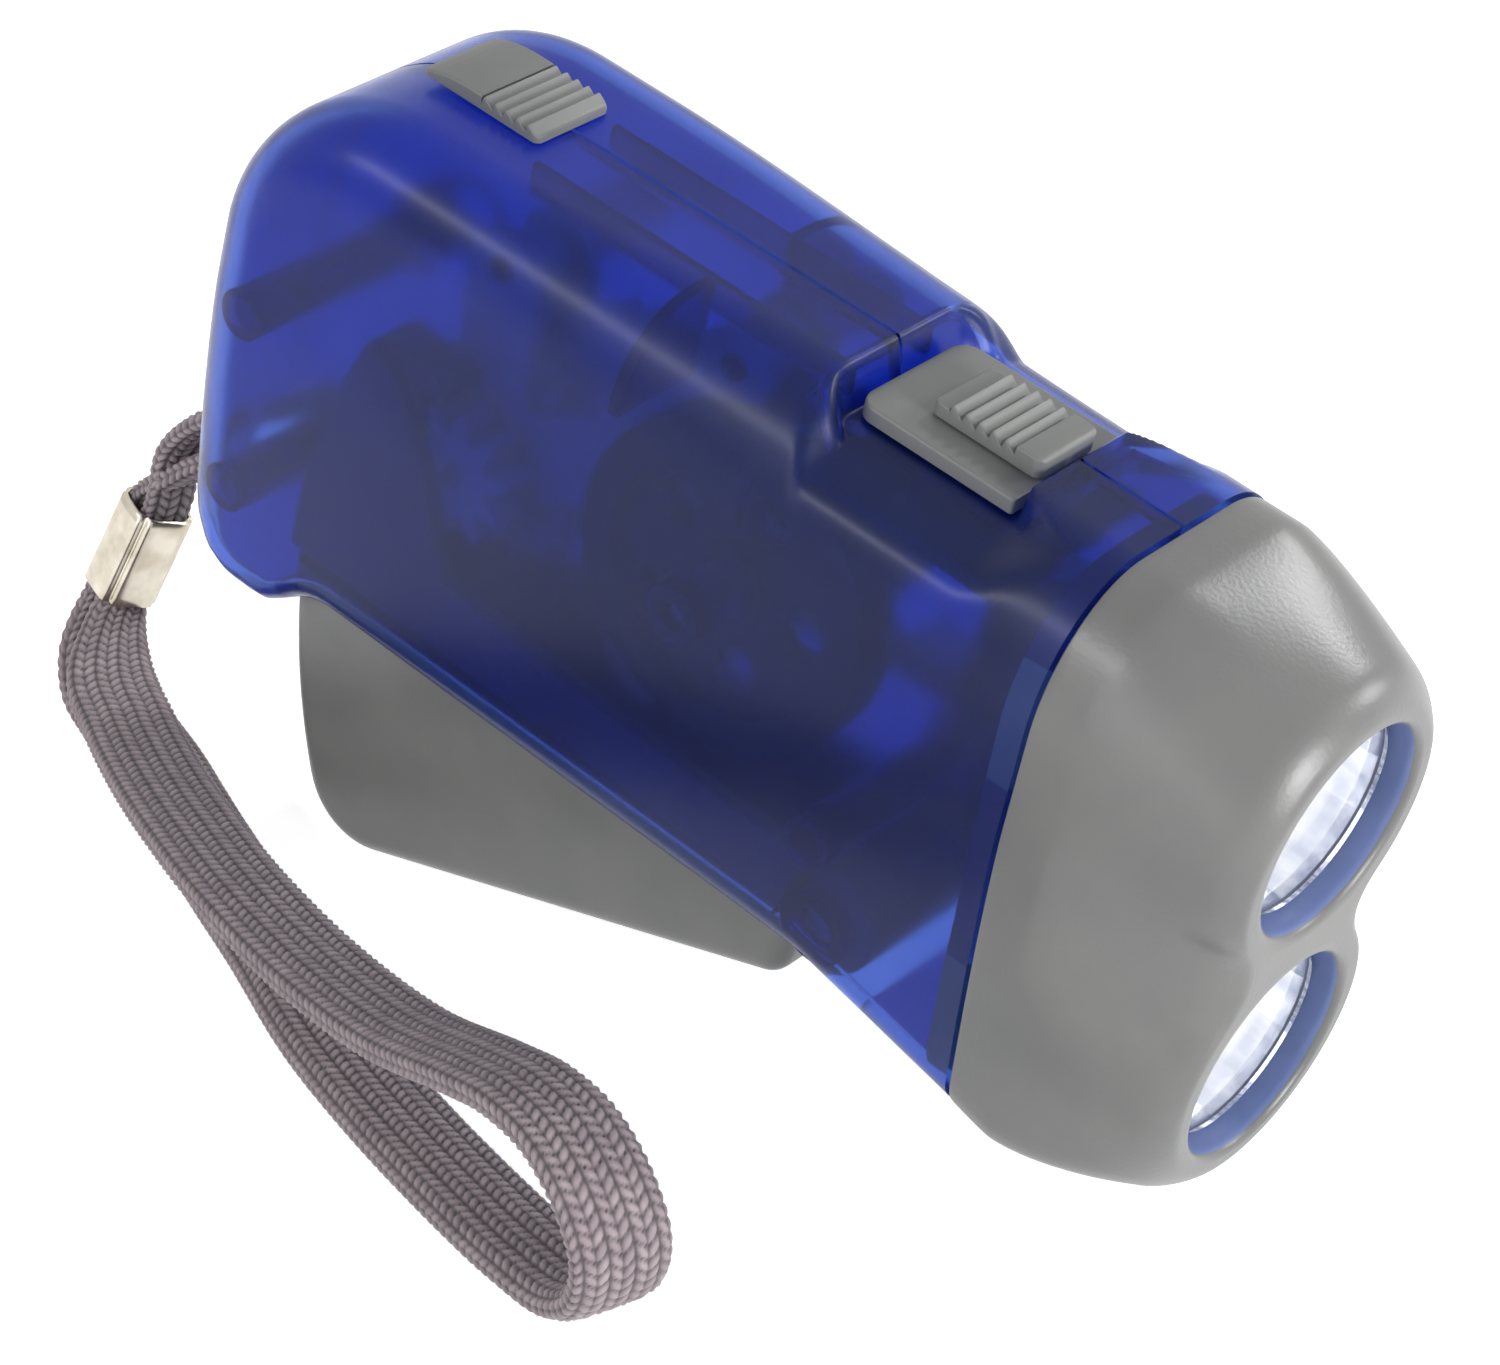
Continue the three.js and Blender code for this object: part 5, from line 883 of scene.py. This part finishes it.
# %% [markdown]
# The plate, the switch's knob and the lock button are small grey mouldings for a fingertip, with ribs
# across. Each is a profile carried from rear to front: at each place along the torch the section is a low
# box with rounded upper edges, whose width follows the plan and whose height follows the ribs.


# %% Switch plate, knob and lock button
def section_sweep(x, half, low, high, edge):
    """Sections from rear to front, each a box from low to high with rounded upper edges, closed at its ends."""
    turn = np.linspace(0, np.pi / 2, EDGE_ROWS)
    edge = np.minimum(edge, (high - low) * EDGE_LIMIT)
    side_y = [half] + [half - edge * (1 - np.cos(t)) for t in turn]
    side_z = [np.full_like(x, low)] + [high - edge * (1 - np.sin(t)) for t in turn]
    y, z = np.array(side_y + [-v for v in side_y[::-1]]), np.array(side_z + side_z[::-1])
    rows = np.stack([np.broadcast_to(x, y.shape), y, z], -1).transpose(1, 0, 2)
    return rows, closed_grid(*rows.shape[:2])


def plan_half(x, rear, front, half, corner):
    """Half-width of a plan rectangle with rounded corners."""
    into = np.minimum(np.minimum(x - rear, front - x), corner)
    return half - corner + np.sqrt(np.maximum(0, corner**2 - (corner - into) ** 2))


def saw_height(x, start, count, pitch, height):
    """Ribs: each rises steeply at its rear to a narrow crest and slopes down to the front."""
    share = (x - start) / pitch
    rib = np.interp(share % 1, [0, 0.12, 0.2, 0.3, 1], [0, 0.85, 1, 0.95, 0])
    return np.where((share >= 0) & (share < count), rib * height, 0)


def end_spaced(rear, front, step, close):
    """Places from rear to front, closer together at both ends."""
    middle = np.arange(rear + close[-1], front - close[-1], step)
    return np.unique(np.concatenate([rear + close, middle, front - close]))


EDGE_ROWS, EDGE_LIMIT, PLATE_STEP, RIB_STEP, RIB_ANGLE = 6, 0.8, 0.8, 0.06, 28
PLATE_REAR, PLATE_FRONT, PLATE_HALF, PLATE_TOP, PLATE_THICK = -25.6, -10.6, 6.5, -1.1, 1.3
PLATE_REAR_CORNER, PLATE_FRONT_CORNER, PLATE_EDGE = 1.6, 0.3, 0.25
close_in = np.array([0.0, 0.02, 0.08, 0.18, 0.32, 0.5, 0.75, 1.0, 1.3, 1.6])
close_ribs = close_in[:8] * 0.8
x = end_spaced(PLATE_REAR, PLATE_FRONT, PLATE_STEP, close_in)
rear_half, front_half = (plan_half(x, PLATE_REAR, PLATE_FRONT, PLATE_HALF, corner)
                         for corner in (PLATE_REAR_CORNER, PLATE_FRONT_CORNER))
half = np.where(x < (PLATE_REAR + PLATE_FRONT) / 2, rear_half, front_half)
plate = section_sweep(x, half, PLATE_TOP - PLATE_THICK, np.full_like(x, PLATE_TOP), PLATE_EDGE)
settle(new_piece("grey_switch_plate", plate), "torch_case", grey_plain, "switch_plate")

KNOB_REAR, KNOB_LENGTH, KNOB_HALF, KNOB_LOW, KNOB_HEIGHT = -21.2, 10.4, 3.5, -0.8, 1.6
KNOB_RIBS, KNOB_RIB_PITCH, KNOB_RIB_HEIGHT, KNOB_STEP, KNOB_END = 5, 1.25, 0.8, 0.45, 0.35
KNOB_CORNER, KNOB_EDGE, KNOB_REAR_SHARE = 0.8, 0.18, 0.4
STEM_REAR, STEM_FRONT, STEM_DEPTH, STEM_HALF = -17.6, -14.4, -4.5, 1.1
knob_front = KNOB_REAR + KNOB_LENGTH
x = end_spaced(KNOB_REAR, knob_front, RIB_STEP, close_ribs)
half = plan_half(x, KNOB_REAR, knob_front, KNOB_HALF, KNOB_CORNER)
rib_start = KNOB_REAR + (KNOB_LENGTH - KNOB_RIBS * KNOB_RIB_PITCH) * KNOB_REAR_SHARE
crest = KNOB_LOW + KNOB_HEIGHT
ribs = crest - KNOB_RIB_HEIGHT + saw_height(x, rib_start, KNOB_RIBS, KNOB_RIB_PITCH, KNOB_RIB_HEIGHT)
top = np.where(x < rib_start + KNOB_RIBS * KNOB_RIB_PITCH, ribs, crest)
top = np.where(x <= rib_start, crest - KNOB_STEP, top)
ends = np.minimum(np.minimum(x - KNOB_REAR, knob_front - x), KNOB_END) / KNOB_END
top = top - KNOB_END * (1 - np.sqrt(1 - (1 - ends) ** 2))
knob = new_piece("grey_switch_knob", section_sweep(x, half, KNOB_LOW, top, KNOB_EDGE), sharp=RIB_ANGLE)
settle(knob, "switch_slider", grey_plain, "switch_knob")
stem = [(STEM_REAR, STEM_DEPTH), (STEM_FRONT, STEM_DEPTH), (STEM_FRONT, 0), (STEM_REAR, 0)]
settle(new_piece("switch_knob_stem", prism(stem, -STEM_HALF, STEM_HALF)), "switch_slider", grey_plain)

LOCK_REAR, LOCK_LENGTH, LOCK_HALF, LOCK_CORNER, LOCK_EDGE, LOCK_FRONT_EDGE = -72.8, 12.3, 4.15, 0.6, 0.2, 0.3
LOCK_LOW, LOCK_HEIGHT, LOCK_RIBS, LOCK_RIB_PITCH, LOCK_RIB_HEIGHT = 0.009 * CASE_HEIGHT + GAP, 1.2, 5, 1.15, 0.6
DOME_SHARES = [(0, 0.2), (0.03, 0.33), (0.06, 0.46), (0.12, 0.66), (0.18, 0.8), (0.27, 0.94), (0.36, 1.0)]
lock_front = LOCK_REAR + LOCK_LENGTH
x = end_spaced(LOCK_REAR, lock_front, RIB_STEP, close_ribs)
dome = np.interp((x - LOCK_REAR) / LOCK_LENGTH, *zip(*DOME_SHARES))
rib_start = lock_front - LOCK_RIBS * LOCK_RIB_PITCH - LOCK_FRONT_EDGE
crest = LOCK_LOW + LOCK_HEIGHT
ribs = crest - LOCK_RIB_HEIGHT + saw_height(x, rib_start, LOCK_RIBS, LOCK_RIB_PITCH, LOCK_RIB_HEIGHT)
top = np.where(x > rib_start, ribs, LOCK_LOW + LOCK_HEIGHT * dome)
half = plan_half(x, LOCK_REAR, lock_front, LOCK_HALF, LOCK_CORNER)
lock = new_piece("grey_lock_button", section_sweep(x, half, LOCK_LOW, top, LOCK_EDGE), sharp=RIB_ANGLE)
settle(lock, "lock_slider", grey_plain, "lock_button")

# %% [markdown]
# The wrist strap is a flat braid whose two ends are crimped into a ferrule, together with those of a short
# loop that passes round a post inside the case. The strap keeps the lie that it has on the table, so each
# middle line is a smooth curve through chosen points, not the result of a simulation.

# %% Strap: the routes
STRAP_WIDTH, STRAP_THICK, CRIMPED_WIDTH, CRIMPED_THICK = 8.0, 2.6, 4.3, 1.8
FERRULE_TOP, FERRULE_BOTTOM = np.array([-107.3, -1.6, 19.2]), np.array([-110.4, -4.2, 10.6])
FERRULE_LENGTH, FERRULE_WIDTH, FERRULE_THICK, FERRULE_WALL = 9.4, 5.9, 5.4, 0.4
STRAND_OFF, STRAP_INSIDE, STRAP_MOUTH, LOOP_INSIDE, LOOP_MOUTH = 1.1, 0.46, 1.1, 0.33, -0.12
POST_GAP, POST_TURNS = 1.05, 95 - 185 * np.arange(9) / 8

strap_side = unit(np.array([0.33, 0.944, 0.0]))
ferrule_axis = unit(FERRULE_BOTTOM - FERRULE_TOP)
ferrule_thin = unit(np.cross(ferrule_axis, strap_side))
ferrule_wide = unit(np.cross(ferrule_thin, ferrule_axis))


def in_ferrule(share, off):
    """A point at a share of the ferrule's length from its top, off its axis."""
    return FERRULE_TOP + ferrule_axis * FERRULE_LENGTH * share + ferrule_thin * off


def from_ferrule(inside, mouth, off, run):
    """A route that leaves the ferrule on one side of its axis and comes back into it on the other."""
    return np.concatenate([
        [in_ferrule(inside, off), in_ferrule(mouth, off)], run, [in_ferrule(mouth, -off), in_ferrule(inside, -off)]])


strap_route = from_ferrule(STRAP_INSIDE, STRAP_MOUTH, -STRAND_OFF, [
    (-111.4, -6.3, 5.6), (-109.4, -7.7, 3.2), (-105, -9.4, 1.8), (-97.5, -12.6, 1.5), (-88, -17.4, 1.4),
    (-78, -22.3, 1.4), (-69, -26.6, 1.4), (-57.1, -32.6, 1.4), (-46.2, -36.9, 1.4), (-34.6, -40.7, 1.4),
    (-25.5, -43.2, 1.4), (-19, -44.7, 2), (-15.4, -45.6, 4.6), (-14.4, -45.8, 8.6), (-16.6, -45.2, 12.6),
    (-21, -43.8, 14.9), (-26.5, -42.3, 15.1), (-32, -40.9, 13.8), (-44, -37.4, 10), (-57, -33.6, 8.4),
    (-69.4, -29.4, 8), (-80, -24.6, 7.2), (-90, -19.4, 6.2), (-99, -14.2, 5.8), (-105.2, -10.4, 6.6),
])
post = TURN @ np.array(REAR_LOWER) + SHIFT - np.array([SHIFT[0], 0])
bend = polar(post, POST_RADIUS + GAP + POST_GAP, POST_TURNS)
loop_route = from_ferrule(LOOP_INSIDE, LOOP_MOUTH, STRAND_OFF, [
    (-104.6, -1, 25.4), (-101, -0.6, 29.2), (-96, -0.2, 31.6), (-91.2, 0, 33.5),
    *((x, 0, z) for x, z in bend),
    (-90, 0, 28.6), (-95, -0.2, 27.2), (-100.4, -0.7, 25.6), (-104.6, -1.2, 22.8),
])

print(f"places on the strap's route: {len(strap_route)}, on the loop's: {len(loop_route)}")


def lay_down(points):
    """Strap frame to row frame: the shift along the torch, millimetres to metres."""
    return (np.asarray(points, float) + np.array([SHIFT[0], 0, 0])) * MM


def smooth_curve(route, step):
    """A centripetal curve through the route's points, sampled evenly, with its directions.

    Each span is the cubic with the ends p1 and p2 and the slopes m1 and m2; a slope weighs the spans on
    both sides by the square roots of their lengths, which keeps the curve free of loops.
    """
    knots = np.concatenate([[2 * route[0] - route[1]], route, [2 * route[-1] - route[-2]]])
    gap = np.sqrt(np.linalg.norm(np.diff(knots, axis=0), axis=1))[:, None]
    a, b, c = gap[:-2], gap[1:-1], gap[2:]
    p0, p1, p2, p3 = knots[:-3], knots[1:-2], knots[2:-1], knots[3:]
    m1 = ((p1 - p0) / a - (p2 - p0) / (a + b) + (p2 - p1) / b) * b
    m2 = ((p2 - p1) / b - (p3 - p1) / (b + c) + (p3 - p2) / c) * b
    t = np.linspace(0, 1, 60, endpoint=False)[None, :, None]
    p1, p2, m1, m2 = (v[:, None] for v in (p1, p2, m1, m2))
    fine = (2 * p1 - 2 * p2 + m1 + m2) * t**3 + (3 * p2 - 3 * p1 - 2 * m1 - m2) * t**2 + m1 * t + p1
    fine = np.concatenate([fine.reshape(-1, 3), route[-1:]])
    travel = lengths(fine)
    pick = np.linspace(0, travel[-1], int(round(travel[-1] / step)) + 1)
    place = pick_from(fine, travel, pick)
    return place, unit(np.gradient(place, axis=0)), pick


# %% [markdown]
# Both cords are braided from thick yarn, so their surface is all relief: each stitch is a bump that leans
# to one side, and the gaps between stitches are dark. The bumps are real geometry; the same field is kept
# on the points and darkens the colour in the gaps, where the yarn shades itself.

# %% Strap: the braid's surface
STITCH, COLUMN, RELIEF, RELIEF_MIDDLE = 0.95, 1.08, 0.36, 0.75
OVAL_POWER, STITCH_POWER, STITCH_LEAN, COLUMN_ROUND, PAIR_DIP = 0.6, 0.6, 0.75, 0.8, 0.4


def oval_section(columns, width, thick):
    """A flattened oval of size one, with its points evenly spaced along a section of this size."""
    turn = np.linspace(0, 2 * np.pi, 4001)
    oval = np.stack([np.sign(wave) * np.abs(wave) ** OVAL_POWER / 2 for wave in (np.cos(turn), np.sin(turn))], -1)
    along = lengths(oval * [width, thick])
    return pick_from(oval, along / along[-1], (np.arange(columns) + 0.5) / columns)


def braid(name, route, sizes, step, columns):
    """A flat braid: a flattened oval carried along the route, with slanting stitches in columns.

    Across, the stitches' columns lean in turn; their height is a power of a rounded wave along the
    braid, times a hump across each column that is lower between two pairs. The same product, kept as
    the attribute "stitch", darkens the gaps.
    """
    place, way, travel = smooth_curve(route, step)
    thin = unit(np.cross(way, strap_side))
    wide = unit(np.cross(thin, way))
    size = np.stack(sizes(travel / travel[-1]), -1)
    edge = oval_section(columns, *size.max(axis=0)) * size[:, None]
    round_way = unit(np.roll(edge, -1, axis=1) - np.roll(edge, 1, axis=1))
    outward = np.stack([round_way[..., 1], -round_way[..., 0]], -1)
    steps = np.linalg.norm(np.diff(edge, axis=1), axis=-1)
    girth = np.concatenate([np.zeros((len(edge), 1)), np.cumsum(steps, axis=1)], 1)
    count = 2 * round(float(girth.max() / COLUMN / 2))
    lane = girth / (girth.max(axis=1, keepdims=True) + girth[:, 1:2]) * count
    part = lane % 1 - 0.5
    lean = np.where(np.floor(lane) % 2 == 0, STITCH_LEAN, -STITCH_LEAN)
    wave = np.abs(np.cos(np.pi * (travel[:, None] / STITCH + lean * part))) ** STITCH_POWER
    pair_dip = 1 - PAIR_DIP * smoothstep(np.abs(lane % 2 - 1), 0.7, 1)
    stitch = wave * np.sqrt(np.clip(1 - (2 * part) ** 2 * COLUMN_ROUND, 0, 1)) * pair_dip
    section = edge + outward * (RELIEF * (stitch - RELIEF_MIDDLE))[..., None]
    points = place[:, None] + wide[:, None] * section[..., :1] + thin[:, None] * section[..., 1:]
    piece = new_piece(name, (points, closed_grid(len(points), columns)), sharp=180, tidy=False)
    piece.data.attributes.new("stitch", "FLOAT", "POINT").data.foreach_set("value", stitch.ravel())
    print(f"{name}: {travel[-1]:.1f} mm long, {count} columns of stitches")
    return piece, place, travel[-1]


def strap_sizes(share):
    """Width and thickness along the strap, pinched at its two ends where the ferrule holds it."""
    open_share = smoothstep(np.minimum(share, 1 - share), 0.012, 0.07)
    return mix(CRIMPED_WIDTH, STRAP_WIDTH, open_share), mix(CRIMPED_THICK, STRAP_THICK, open_share)


def loop_sizes(share):
    """Width and thickness along the loop, which is pinched throughout."""
    return np.full_like(share, CRIMPED_WIDTH), np.full_like(share, CRIMPED_THICK)


strap, strap_path, strap_length = braid("braided_strap", strap_route, strap_sizes, 0.23, 90)
loop, loop_path, loop_length = braid("braided_loop", loop_route, loop_sizes, 0.17, 60)
braid_grey = shade(
    "braid_grey", (0.35, 0.285, 0.315), (0.46, 0.385, 0.405), 0.85, cloud=700, grain=5000, bump=0.4,
    bump_depth=0.00008, Sheen_Weight=0.35, Sheen_Roughness=0.5,
)
tree, link = braid_grey.node_tree, braid_grey.node_tree.links.new
stitch = add_node(tree, "Attribute")
stitch.attribute_name = "stitch"
gaps = add_node(tree, "MapRange", From_Min=0.25, From_Max=0.85, To_Min=0.3)
shadow = add_node(tree, "VectorMath")
shadow.operation = "SCALE"
base = tree.nodes["Principled BSDF"].inputs["Base Color"]
link(base.links[0].from_socket, shadow.inputs[0])
link(stitch.outputs["Fac"], gaps.inputs["Value"])
link(gaps.outputs["Result"], shadow.inputs["Scale"])
link(shadow.outputs["Vector"], base)
settle(strap, "torch_case", braid_grey, "wrist_strap", place=lay_down)
settle(loop, "torch_case", braid_grey, "strap_loop", place=lay_down)

# %% [markdown]
# The ferrule is a strip of plated metal, bent round both cords and crimped: a rounded box with creases
# along it. It is open at both ends, so its profile runs down the outside and back up the inside.

# %% Ferrule
FERRULE_COLUMNS, CREASE, CREASE_INSIDE, BEVEL, BOX_POWER = 96, 0.35, 0.1, 0.12, 0.5


def ferrule_ring(shrink, share, crease):
    """One ring of the ferrule: a rounded box with creases along it, at a share of its length."""
    turn = (np.arange(FERRULE_COLUMNS) + 0.5) * 2 * np.pi / FERRULE_COLUMNS
    dent = crease * np.maximum(0, np.cos(4 * turn - np.pi)) ** 3
    a, b = (np.sign(wave) * np.abs(wave) ** BOX_POWER * (size / 2 - shrink - dent)
            for wave, size in ((np.cos(turn), FERRULE_WIDTH), (np.sin(turn), FERRULE_THICK)))
    return in_ferrule(share, 0) + a[:, None] * ferrule_wide + b[:, None] * ferrule_thin


rows = [ferrule_ring(shrink, share, CREASE) for shrink, share in (
    (BEVEL, 0.0), (0, 0.015), *((0, share) for share in np.linspace(0.1, 0.9, 9)), (0, 0.985), (BEVEL, 1.0))]
rows += [ferrule_ring(FERRULE_WALL, share, CREASE_INSIDE) for share in (1.0, 0.5, 0.0)] + rows[:1]
ferrule = new_piece("crimped_ferrule", (np.array(rows), grid_faces(len(rows), FERRULE_COLUMNS, wrap=True)), sharp=50)
settle(ferrule, "torch_case", nickel, "ferrule", place=lay_down)

# %% [markdown]
# A pale floor and a white surround as in a product photograph. A strip lamp above the near side draws the
# long highlight along the shoulder, two lamps behind the torch light the head's top and the ribs, and two
# weaker ones fill the near side and the lenses.

# %% Stage and light
FLOOR_HALF, FLOOR_DROP, FLOOR_GLOW, WORLD_LIGHT, LAMP_AIM = 3.0, 0.00005, 0.8, 0.22, Vector((0, 0, 0.03))

floor_corners = [(x * FLOOR_HALF, y * FLOOR_HALF, 0) for x, y in ((-1, -1), (1, -1), (1, 1), (-1, 1))]
floor = new_piece("floor", (floor_corners, [[0, 1, 2, 3]]))
floor.location.z = -FLOOR_DROP
floor_material = bpy.data.materials.new("floor")
floor_material.use_nodes = True
floor.data.materials.append(floor_material)


def seen_strength(tree, socket, unseen, seen):
    """Drives a strength: one value for light on the object, another where a ray comes from the camera or
    through gloss or glass."""
    rays = add_node(tree, "LightPath").outputs
    ray = rays["Is Camera Ray"]
    for kind in ("Is Glossy Ray", "Is Transmission Ray"):
        most = add_node(tree, "Math")
        most.operation = "MAXIMUM"
        tree.links.new(ray, most.inputs[0])
        tree.links.new(rays[kind], most.inputs[1])
        ray = most.outputs[0]
    step = add_node(tree, "MapRange", To_Min=unseen, To_Max=seen)
    tree.links.new(ray, step.inputs["Value"])
    tree.links.new(step.outputs["Result"], socket)


shader = floor_material.node_tree.nodes["Principled BSDF"]
set_inputs(shader, Base_Color=(0.9, 0.9, 0.9, 1), Roughness=0.9, Emission_Color=(1, 1, 1, 1))
seen_strength(floor_material.node_tree, shader.inputs["Emission Strength"], 0.0, FLOOR_GLOW)

world = bpy.data.worlds.new("studio")
bpy.context.scene.world = world
world.use_nodes = True
backdrop = world.node_tree.nodes["Background"]
set_inputs(backdrop, Color=(1, 1, 1, 1))
seen_strength(world.node_tree, backdrop.inputs["Strength"], WORLD_LIGHT, 1.0)

for name, place, size, length, power in (
    ("strip", (-0.25, -0.74, 0.56), 0.09, 0.8, 3.2),
    ("back", (0.12, 0.78, 0.63), 0.1, 0.1, 2.1),
    ("front", (0.6, 0.71, 0.4), 0.25, 0.25, 2.6),
    ("fill", (0.0, -1.0, 0.15), 0.6, 0.6, 2),
    ("low", (0.85, -0.05, 0.1), 0.3, 0.3, 6),
):
    lamp = bpy.data.lights.new(name, "AREA")
    lamp.shape, lamp.size, lamp.size_y, lamp.energy = "RECTANGLE", length, size, power
    thing = bpy.data.objects.new(name, lamp)
    thing.location = place
    thing.rotation_euler = (LAMP_AIM - Vector(place)).to_track_quat("-Z", "Y").to_euler()
    bpy.context.scene.collection.objects.link(thing)
    print(f"lamp {name}: {power} W, {length} by {size} m")
